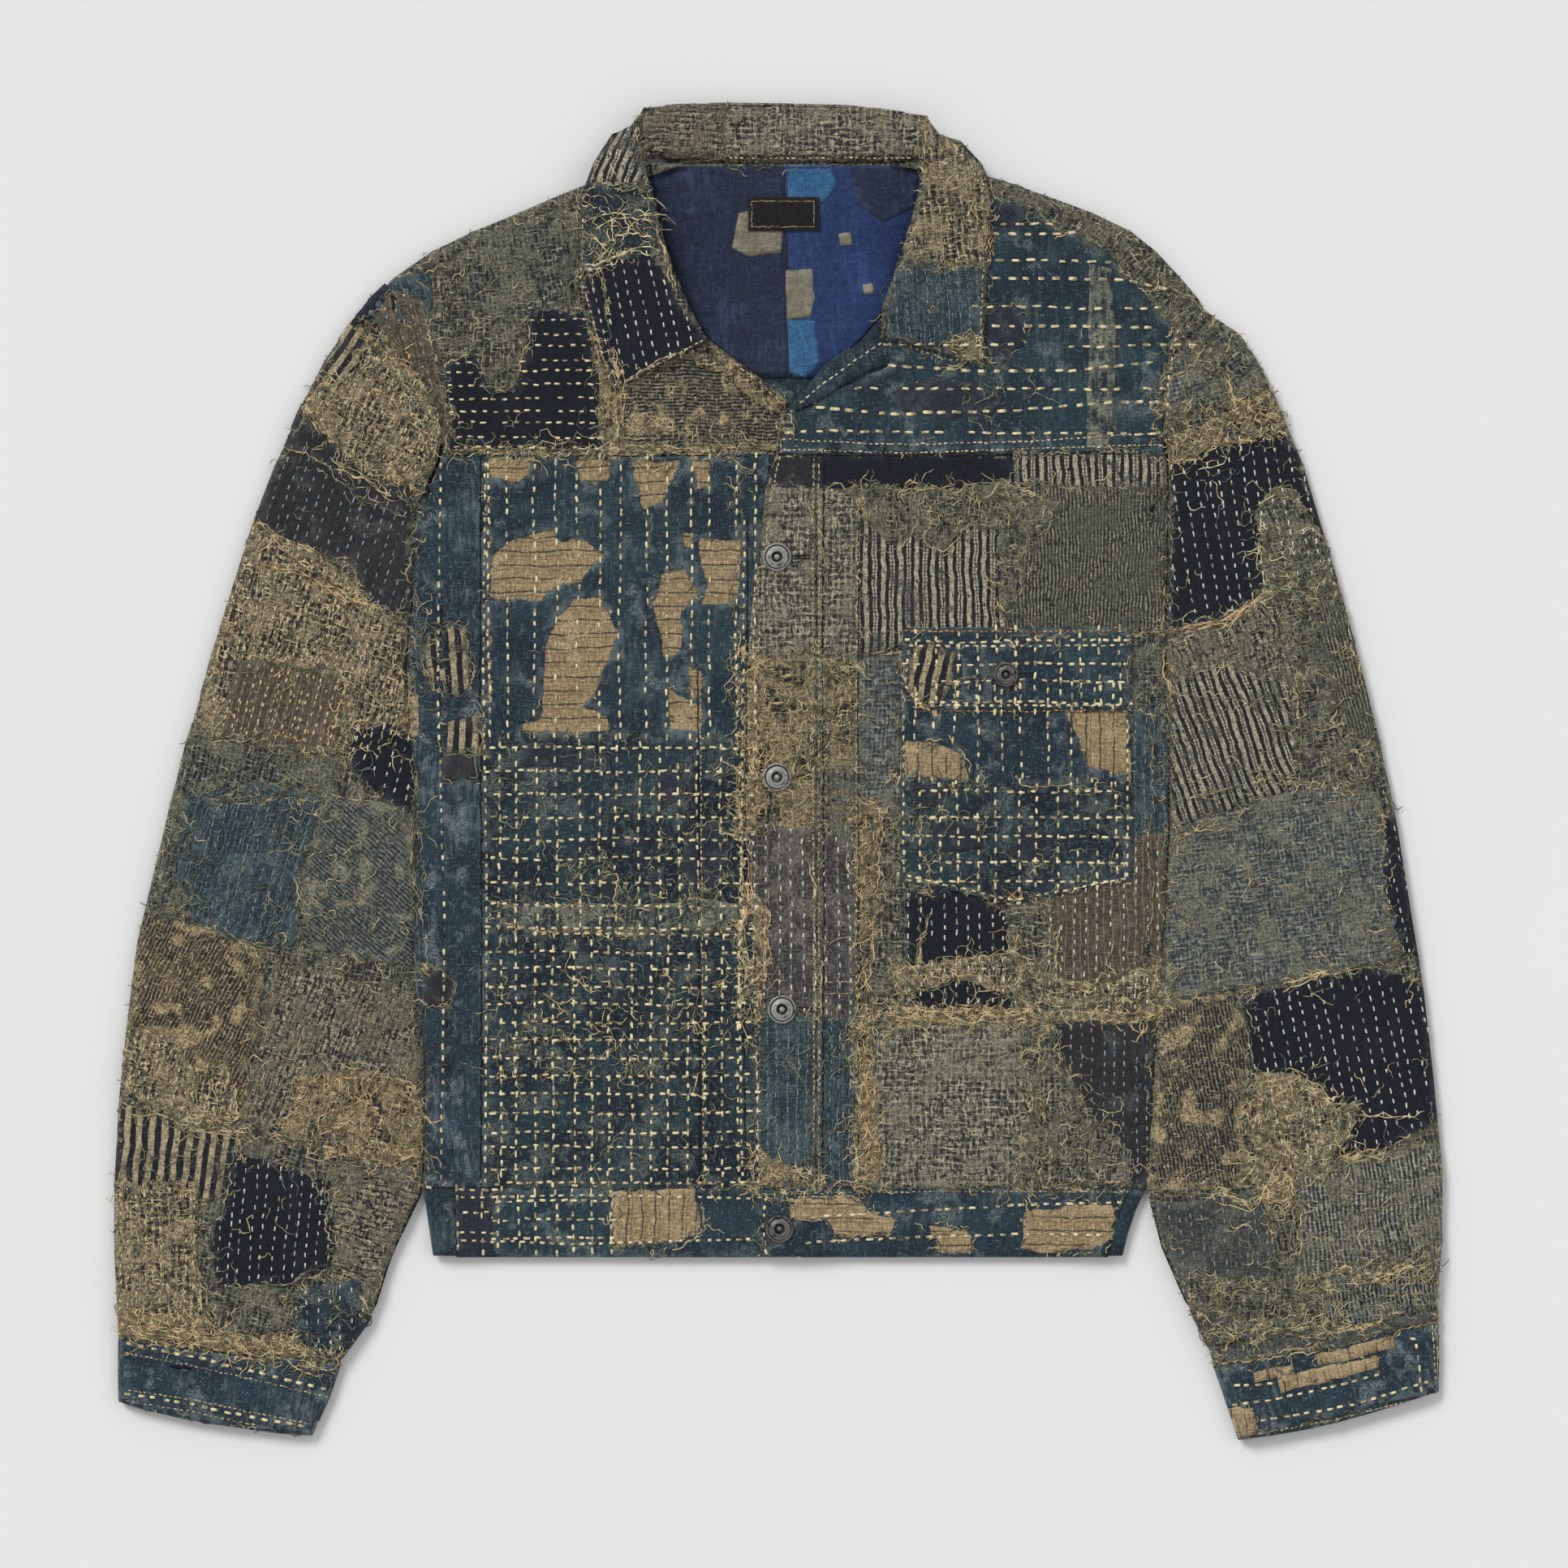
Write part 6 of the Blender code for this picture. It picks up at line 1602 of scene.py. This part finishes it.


# ---------------------------------------------------------------- seam and topstitch lines, and painted shadow lines

# thread, pitch, stitch length, thickness, places along the line
SEWN_AND_SHADOW_LINES = (
    ("cream", 9.0, 5.4, 2.0, (124, 318, 150, 317, 176, 318)),
    ("cream", 9.0, 5.4, 2.0, (124, 291, 170, 291, 206, 290, 232, 284)),
    ("cream", 9.0, 5.4, 2.0, (124, 263, 176, 263, 226, 262)),
    ("cream", 9.0, 5.4, 2.0, (62, 240, 120, 236, 176, 237, 224, 242)),
    ("cream", 9.0, 5.4, 2.0, (20, 215, 70, 211, 140, 213, 196, 218, 224, 218)),
    ("cream", 3.4, 2.3, 0.81, (2, 196, 70, 193, 150, 195, 226, 200)),
    ("cream", 3.0, 2.1, 0.81, (2, 190, 80, 188, 160, 191, 227, 193)),
    ("sand", 3.4, 2.3, 0.81, (-199, 190, -120, 188, -8, 190)),
    ("cream", 7.0, 3.6, 1.52, (-199, 184, -201, 60, -197, -90, -199, -244)),
    ("cream", 6.4, 3.4, 1.52, (-173, 184, -174, 60, -172, -90, -173, -244)),
    ("sand", 3.6, 2.4, 0.81, (-46, 58, -45, -90, -44, -244)),
    ("cream", 6.2, 3.2, 1.44, (-20, 150, -21, 0, -23, -120, -21, -244)),
    ("sand", 3.6, 2.5, 0.88,
     (9, 214, -1, 206, 2, 190, -5, 160, -9, 110, -14, 40, -16, -60, -13, -160, -11, -246)),
    ("sand", 3.6, 2.5, 0.88, (21, 186, 20, 60, 21, -80, 21, -246)),
    ("sand", 3.8, 2.4, 0.81, (24, 182, 24, 0, 24, -246)),
    ("sand", 3.8, 2.4, 0.81, (47, 166, 46, 0, 46, -244)),
    ("orange", 3.4, 2.3, 0.88, (74, 83, 140, 82.5, 206, 83)),
    ("cream", 5.4, 3.0, 1.36, (76, 74, 140, 74, 204, 74.5)),
    ("cream", 5.0, 2.9, 1.36, (77, 72, 75, 50, 86, 39, 204, 39)),
    ("orange", 3.4, 2.3, 0.81, (78, 46, 87, 36, 140, 35.5, 205, 36)),
    ("cream", 5.6, 3.2, 1.44, (74, 34, 74, -61, 138, -76, 206, -63, 206, 34)),
    ("cream", 3.6, 2.4, 0.88, (-98, 227, -74, 239, -54, 249, -45, 254)),
    ("cream", 3.6, 2.4, 0.81, (-115, 330, -116, 290, -108, 262, -100, 232)),
    ("sand", 3.6, 2.4, 0.88, (120, 344, 121, 300, 119, 244, 100, 243, 80, 250, 66, 257)),
    ("cream", 3.4, 2.2, 0.81, (-30, 362, 20, 362, 80, 362)),
    ("cream", 4.4, 2.8, 0.94, (12, 217, 32, 233, 50, 246, 62, 254)),
    ("sand", 4.4, 2.6, 0.88, (4, 216, -14, 232, -36, 248)),
    ("orange", 3.2, 2.2, 0.88, (-251, 262, -236, 250, -222, 240)),
    ("cream", 5.8, 3.3, 1.52, (-206, -252, -120, -250, -12, -252)),
    ("cream", 5.8, 3.3, 1.52, (-206, -276, -120, -279, -14, -276)),
    ("cream", 7.2, 4.0, 1.68, (18, -263, 70, -260, 140, -256, 214, -254)),
    ("cream", 7.2, 4.0, 1.68, (14, -278, 80, -275, 150, -273, 214, -274)),
    ("cream", 5.2, 3.0, 1.44, (-7, -250, -9, -268, -7, -284, 0, -287, 40, -287)),
    ("sand", 3.4, 2.2, 0.81, (0, -249, 100, -248, 215, -248)),
    ("cream", 7.4, 4.4, 1.92, (-387, -337, -342, -346, -298, -357, -264, -365)),
    ("cream", 7.4, 4.4, 1.92, (-387, -367, -348, -373, -316, -380, -276, -387)),
    ("sand", 3.6, 2.3, 0.81, (-386, -371, -340, -379, -300, -388)),
    ("cream", 6.6, 4.0, 1.6, (267, -362.5, 296, -361)),
    ("cream", 6.6, 4.0, 1.6, (266, -374, 289, -371, 319, -365, 354, -356)),
    ("sand", 3.8, 2.6, 0.94, (386, -322, 388, -362)),
    ("cream", 5.4, 3.0, 1.08, (236, 262, 230, 230, 229, 190)),
    ("sand", 3.8, 2.4, 0.81, (-214, 236, -202, 214, -198, 190, -215, 164)),
    ("orange", 3.2, 2.2, 0.8, (-246, 268, -232, 256, -216, 244)),
    ("orange", 3.0, 3.2, 0.7, (133, -69, 143, -77)),
    ("orange", 3.0, 3.2, 0.7, (133, -77, 143, -69)),
    ("sand", 3.0, 2.2, 0.8, (-386, -343, -340, -352, -300, -361, -266, -369)),
    ("sand", 3.0, 2.2, 0.8, (-384, -365, -344, -371, -312, -378, -276, -385)),
    ("sand", 3.0, 2.2, 0.8, (284, -391, 330, -382, 386, -368)),
    ("cream", 6.4, 3.8, 1.5, (371, -334, 376, -335, 380, -369)),
    ("cream", 6.6, 4.0, 1.6, (283, -383.5, 336, -374.5, 386, -359)),
    # painted shadow in pressed folds and in open slits: strips of dark thread laid along them
    ("dark", 4.4, 5.4, 0.9, (27, 182, 26, 60, 27, -80, 26, -244)),
    ("dark", 4.4, 5.4, 0.8, (47.5, 166, 47, 20, 48, -120, 47, -244)),
    ("dark", 4.4, 5.4, 0.8, (-18, 150, -19, 0, -21, -120, -19, -244)),
    ("dark", 4.4, 5.4, 0.8, (-47.5, 60, -47, -80, -46, -244)),
    ("dark", 4.4, 5.4, 0.9, (-175.5, 186, -176, 60, -175, -90, -175.5, -244)),
    ("dark", 4.4, 5.4, 0.8, (-199, 186.5, -120, 186.5, -10, 186.5)),
    ("dark", 4.4, 5.4, 0.8, (0, 186.5, 120, 186.5, 227, 188)),
    ("dark", 3.2, 4.4, 1.6, (-359, -351, -347, -352.5)),
)
# both ends of each buttonhole across the coat, and its height on it
BUTTONHOLES = ((9, 22, 126.5), (9, 22, -3.5), (12, 25, -140.5), (143, 152, 57))
# opposite corners, pitch, stitch length, thickness, thread, seed: three bar tacks and the label's border
BOXES = (
    (29, 116, 47, 108, 2.4, 1.9, 0.55, "sand", 1700),
    (25, -12, 44, -21, 2.4, 1.9, 0.55, "orange", 1701),
    (27, -124, 44, -131, 2.4, 1.9, 0.55, "sand", 1702),
    (-15.5, 321.5, 21, 336.5, 1.5, 1.7, 0.35, "sand", 1710),
)

# ---------------------------------------------------------------- loose yarn

# the shares of each thread in the fray along a cloth's torn borders
FRAY_BY_CLOTH = {
    "indigo": dict(blue=0.5, olive=0.3, sand=0.2),
    "indigo_dark": dict(blue=0.4, olive=0.35, sand=0.25),
    "tan_fray": dict(sand=0.45, peach=0.25, olive=0.3),
    "tan_gauze": dict(sand=0.35, peach=0.15, olive=0.3, moss=0.2),
    "teal": dict(grey=0.4, moss=0.3, olive=0.3),
    "khaki": dict(sand=0.4, blue=0.6),
    "navy": dict(olive=0.25, grey=0.3, sand=0.2),
}
FRAY_COLOURS = dict(sand=0.18, peach=0.07, olive=0.30, moss=0.22, grey=0.23)
# how densely loose yarn covers a cloth, and the shares of its threads
TANGLE_BY_CLOTH = {
    "tweed": (0.8, dict(olive=0.35, moss=0.25, sand=0.2, grey=0.2)),
    "tweed_blue": (0.9, dict(grey=0.4, moss=0.3, olive=0.3)),
    "tan_gauze": (0.8, dict(sand=0.35, peach=0.15, olive=0.3, moss=0.2)),
    "tan_fray": (2.2, dict(sand=0.45, peach=0.25, olive=0.3)),
    "olive": (2.0, dict(sand=0.4, olive=0.4, moss=0.2)),
    "indigo_dark": (0.4, dict(olive=0.5, grey=0.5)),
    "teal": (0.7, dict(grey=0.6, olive=0.4)),
}
# density per square centimetre, heading, threads, outline
TANGLES = (
    (2.6, 10, dict(cream=0.25, sand=0.4, olive=0.35), (-116, 346, -76, 342, -70, 316, -78, 306, -118, 292)),
    (3.5, 0, dict(sand=0.4, olive=0.6), (-194, 198, -10, 198, -6, 186, -194, 184)),
    (3.0, 40, dict(sand=0.5, olive=0.5), (-282, 216, -214, 170, -214, 148, -294, 190)),
    (1.0, 30, dict(cream=0.5, olive=0.5), (236, 188, 300, 200, 330, 130, 236, 96)),
    (3.0, 70, dict(sand=0.5, olive=0.5), (228, 198, 306, 228, 308, 206, 232, 182)),
    (3.0, 20, dict(sand=0.6, cream=0.4), (230, 88, 262, 95, 300, 114, 302, 104, 264, 86, 230, 78)),
    (2.6, 0, dict(sand=0.3, olive=0.7), (46, 172, 140, 172, 150, 140, 46, 144)),
    (1.6, 0, dict(sand=0.4, olive=0.6), (66, -118, 228, -114, 228, -150, 46, -152)),
    (2.4, 80, dict(olive=0.8, sand=0.2), (140, -150, 176, -160, 214, -236, 140, -246)),
    (2.6, 10, dict(sand=0.5, olive=0.5), (-392, -322, -258, -350, -258, -362, -392, -336)),
    (2.4, 10, dict(sand=0.4, olive=0.6), (276, -176, 346, -196, 330, -240, 276, -256)),
    (2.2, 0, dict(sand=0.4, olive=0.6), (240, -300, 392, -284, 392, -312, 252, -338)),
    (2.4, 0, dict(olive=0.7, grey=0.3), (-66, -96, -36, -26, -26, -50, -40, -84)),
    (1.8, 0, dict(olive=0.7, grey=0.3), (-130, -50, -66, -52, -66, -96, -130, -96)),
    (1.4, 0, dict(olive=0.6, sand=0.4), (-170, -120, -14, -120, -14, -180, -170, -180)),
    (2.0, 0, dict(grey=0.5, olive=0.5), (96, 214, 140, 246, 150, 214, 120, 204)),
    (2.0, 0, dict(grey=0.5, olive=0.5), (-214, 86, -180, 92, -178, 40, -214, 40)),
)
# yarn that hangs loose where a seam has come undone: thread, strands, spread, radius, places
CORDS = (
    ("cream", 4, 1.3, 0.42, (-117, 293, -110, 299, -98, 300, -88, 306, -82, 308, -69, 304)),
    ("cream", 2, 1.0, 0.38, (-108, 321, -100, 325, -92, 327, -81, 328, -74, 325)),
    ("cream", 1, 0.8, 0.38, (-98, 327, -97, 310, -100, 300)),
    ("cream", 1, 0.8, 0.36, (-96, 316, -84, 317, -72, 314)),
    ("cream", 1, 0.8, 0.36, (-110, 317, -104, 312, -100, 306, -108, 300)),
    ("cream", 1, 0.8, 0.36, (-90, 328, -88, 318, -94, 308)),
    ("sand", 2, 0.8, 0.36, (-73, 321, -65, 298, -61, 285)),
    ("sand", 3, 1.2, 0.34, (-276, 187, -261, 179, -248, 175, -236, 170, -226, 160)),
    ("sand", 3, 1.2, 0.34, (-309, 146, -297, 139, -288, 133, -280, 131, -272, 127)),
    ("peach", 5, 1.8, 0.34, (-316, 125, -302, 121, -284, 116, -261, 107, -248, 99, -235, 93, -225, 90)),
    ("peach", 5, 1.8, 0.32, (231, 84, 245, 86, 260, 88, 270, 92, 278, 98, 290, 104, 302, 112)),
    ("sand", 3, 1.4, 0.34, (233, -49, 238, -38, 247, -33, 266, -28)),
    ("sand", 3, 1.2, 0.34, (297, -126, 311, -123, 319, -120, 331, -116)),
    ("sand", 6, 2.4, 0.32, (300, -240, 309, -238, 330, -233, 352, -228, 368, -223, 384, -216)),
    ("sand", 6, 2.2, 0.34, (250, -250, 261, -248, 279, -257, 289, -243, 299, -238)),
    ("cream", 3, 1.4, 0.34, (309, -185, 319, -188, 326, -196, 335, -193)),
    ("cream", 2, 1.4, 0.32, (335, -196, 350, -202, 366, -205, 382, -204)),
    ("peach", 5, 2.2, 0.32, (46, -141, 90, -142, 140, -145, 190, -142, 228, -144)),
    ("sand", 6, 2.6, 0.32, (-392, -193, -366, -199, -340, -211, -318, -214, -300, -216)),
    ("sand", 7, 1.8, 0.3, (-196, 190, -150, 188, -100, 190, -60, 188, -8, 188)),
    ("sand", 3, 1.6, 0.32, (-98, 258, -94, 236, -93, 214, -94, 192)),
    ("peach", 6, 1.8, 0.32, (-22, 40, -22, 0, -21, -40, -20, -100, -18, -140)),
    ("peach", 7, 2.4, 0.32, (49, -10, 50, -60, 52, -100, 49, -140, 50, -200, 52, -240)),
    ("sand", 8, 2.6, 0.32, (-390, -324, -350, -330, -300, -342, -260, -352)),
    ("sand", 5, 2.4, 0.32, (300, -303, 340, -300, 388, -290)),
    ("sand", 5, 2.4, 0.32, (256, -340, 300, -336, 350, -326, 388, -312)),
    ("olive", 5, 2.4, 0.32, (212, -110, 218, -60, 222, 0, 226, 60)),
    ("olive", 5, 2.4, 0.32, (-212, -110, -214, -60, -216, 0, -216, 60)),
)

# ---------------------------------------------------------------- the side that lies down

UNDER_CLOTHS = ("indigo", "tweed", "fine_check", "navy", "tan_gauze", "indigo_dark", "rib_blue", "teal",
                "stripe", "brown", "tweed_blue", "charcoal")
UNDER_ROWS = ("down", "plain", "across", "small", "plain")
# each patch's corners as shares of its place in the panel: it laps over the next ones a little
UNDER_CORNERS = ((0, 0), (1.03, 0), (1.03, 1.03), (0, 1.03))
UNDER_SHIFT = 6
UNDER_FRAYING = 0.4
# region, columns, lines, low corner, high corner, lean of x per y
UNDER_PANELS = (
    ("under_body", 5, 6, (-212, -240), (222, 250), 0.0),
    ("under_sleeve_right", 2, 7, (-316, -318), (-196, 200), 0.17),
    ("under_sleeve_left", 2, 7, (196, -318), (316, 200), -0.17),
)

# ---------------------------------------------------------------- stage

FRAME_WIDTH = 0.927
VIEW_CENTRE = (3.4 * MM, -7.4 * MM)
LENS = 200.0
SENSOR = 36.0
FLOOR_TONES = ((233, 233, 233), (236, 236, 236))
SKY_STRENGTH = 0.52
# name, the direction each lamp stands in, its spread in degrees and its strength
LAMPS = (("key", (-0.5, 0.6, 0.8), 22, 1.65), ("fill", (0.7, 0.1, 0.8), 40, 0.28))


def make_stage():
    """A pale floor under the coat, a camera straight above it and soft light from all round."""
    bpy.ops.mesh.primitive_grid_add(x_subdivisions=4, y_subdivisions=4, size=12, location=(0, 0, -0.4 * MM))
    floor = bpy.context.object
    floor.name = "floor"
    net = Net("floor_paper")
    tone = net.mix(net.noise(net.spot, 3.0), *(linear(tone) for tone in FLOOR_TONES))
    floor.data.materials.append(net.finish(tone, None, 0.95, 0, 0))
    camera = link(bpy.data.objects.new("camera", bpy.data.cameras.new("camera")))
    camera.data.lens = LENS
    camera.data.sensor_width = SENSOR
    camera.data.clip_end = 100
    camera.location = (*VIEW_CENTRE, FRAME_WIDTH * LENS / SENSOR)
    bpy.context.scene.camera = camera
    world = bpy.data.worlds.new("studio")
    world.use_nodes = True
    world.node_tree.nodes["Background"].inputs["Color"].default_value = (1, 1, 1, 1)
    world.node_tree.nodes["Background"].inputs["Strength"].default_value = SKY_STRENGTH
    bpy.context.scene.world = world
    for name, place, spread, strength in LAMPS:
        lamp = link(bpy.data.objects.new(name, bpy.data.lights.new(name, "SUN")))
        lamp.data.angle = math.radians(spread)
        lamp.data.energy = strength
        lamp.rotation_euler = Vector(place).to_track_quat("Z", "Y").to_euler()
    bpy.context.scene.view_settings.view_transform = "Standard"


# ---------------------------------------------------------------- putting it together

Patch = namedtuple("Patch", "region cloth tilt rows layer fraying outline")
# where each kind of random draw starts to count
PATCH_SEED, FRAY_SEED, STRAND_SEED, AREA_SEED, WEB_SEED, ROW_SEED = 100, 400, 600, 700, 800, 900
TANGLE_SEED, CORD_SEED, LINE_SEED, HOLE_SEED, UNDER_SEED = 1200, 1350, 1500, 1600, 2000


def wear_out(threads, row, loops, number):
    """The loose yarn of one patch: along its borders, and over it where its cloth has fallen apart."""
    colours = FRAY_BY_CLOTH.get(row.cloth, FRAY_COLOURS)
    for turn, loop in enumerate(loops, number):
        threads.fray("front", loop, row.fraying, colours, FRAY_SEED + turn)
        if row.fraying > WEBBED_FROM:
            strands = len(loop) * TEAR_STEP * row.fraying * STRAND_DENSITY
            threads.strands(np.concatenate([loop, loop[:1]]), strands, colours, STRAND_SEED + turn)
            threads.web(loop, row.fraying, colours, WEB_SEED + turn)
    if row.cloth in TANGLE_BY_CLOTH:
        density, colours = TANGLE_BY_CLOTH[row.cloth]
        threads.tangle(row.outline, density, colours, row.tilt + 90, AREA_SEED + number)


def lay_patches(threads, stitches):
    rows = [Patch(region, *row) for region, group in PATCHES for row in group]
    patches = []
    for number, row in enumerate(rows):
        patch, loops = make_patch(f"patch_{number:03d}_{row.region}_{row.cloth}", row, PATCH_SEED + number)
        patches.append(patch)
        if row.region != "lining":
            wear_out(threads, row, loops, number)
        stitches.rows_on("front", loops, row.tilt, ROWS[row.rows], ROW_SEED + number)
    return patches


def draw_lines(threads, stitches):
    """The loose yarn, the sewn lines and the painted shadow lines that have places of their own."""
    for number, (density, heading, colours, outline) in enumerate(TANGLES, TANGLE_SEED):
        threads.tangle(outline, density, colours, heading, number)
    for number, (thread, count, spread, radius, run) in enumerate(CORDS, CORD_SEED):
        threads.strands(places(run), count, {thread: 1}, number, spread, radius, LONGEST_CORD)
    for number, (thread, pitch, length, width, run) in enumerate(SEWN_AND_SHADOW_LINES, LINE_SEED):
        stitches.line(run, pitch, length, width, thread, number)
    for number, slit in enumerate(BUTTONHOLES, HOLE_SEED):
        add_buttonhole(stitches, *slit, number)
    for border in BOXES:
        add_box(stitches, *border)


def under_rows():
    """The patches of the side that lies down: leaning panels cut into columns and lines."""
    for region, columns, lines, low, high, lean in UNDER_PANELS:
        rng = np.random.default_rng(len(region))
        across = (high[0] - low[0]) / columns
        rise = (high[1] - low[1]) / lines
        for column in range(columns):
            for line in range(lines):
                y0 = low[1] + line * rise
                x0 = low[0] + column * across + rng.uniform(-UNDER_SHIFT, UNDER_SHIFT)
                outline = tuple(
                    (x0 + dx * across + lean * (y0 + dy * rise - low[1]), y0 + dy * rise)
                    for dx, dy in UNDER_CORNERS
                )
                cloth = UNDER_CLOTHS[rng.integers(len(UNDER_CLOTHS))]
                rows = UNDER_ROWS[rng.integers(len(UNDER_ROWS))]
                yield Patch(region, cloth, 0, rows, (column + line) % 2, UNDER_FRAYING, outline)


def lay_under_patches(threads, stitches):
    patches = []
    for number, row in enumerate(under_rows()):
        patch, loops = make_patch(f"under_{number:03d}_{row.cloth}", row, UNDER_SEED + number)
        patches.append(patch)
        stitches.rows_on("under", loops, 0, ROWS[row.rows], UNDER_SEED + number)
        colours = FRAY_BY_CLOTH.get(row.cloth, FRAY_COLOURS)
        threads.fray("under", loops[0], UNDER_FRAY, colours, UNDER_SEED + number)
    return patches


def make_coat():
    shells = {node: soft_shell(node, row) for node, row in SHELLS.items()}
    threads, stitches = ThreadBag(), StitchBag()
    patches = lay_patches(threads, stitches)
    draw_lines(threads, stitches)
    under = lay_under_patches(threads, stitches)
    tops = [shell for node, shell in shells.items() if node != "waistband_back"]
    sides = {"front": Surface([*tops, *patches]), "under": Surface([*shells.values(), *under], below=True)}
    stitches.sew(sides)
    threads.spin(sides)
    # the near-black metal is painted shade in each button's groove and well
    hollow_shade = metal_material("button_dirt", (50, 50, 52), (24, 24, 26))
    steel = metal_material("button_steel", (158, 157, 152), (92, 92, 92))
    dull = metal_material("button_dull", (112, 110, 106), (60, 58, 56))
    for node in ("button_1", "button_2", "button_3"):
        make_button(node, steel, hollow_shade)
    for node in ("button_waist", "button_flap"):
        make_button(node, dull, hollow_shade)


for leftover in list(bpy.data.objects):
    bpy.data.objects.remove(leftover)
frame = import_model()
make_coat()
make_stage()
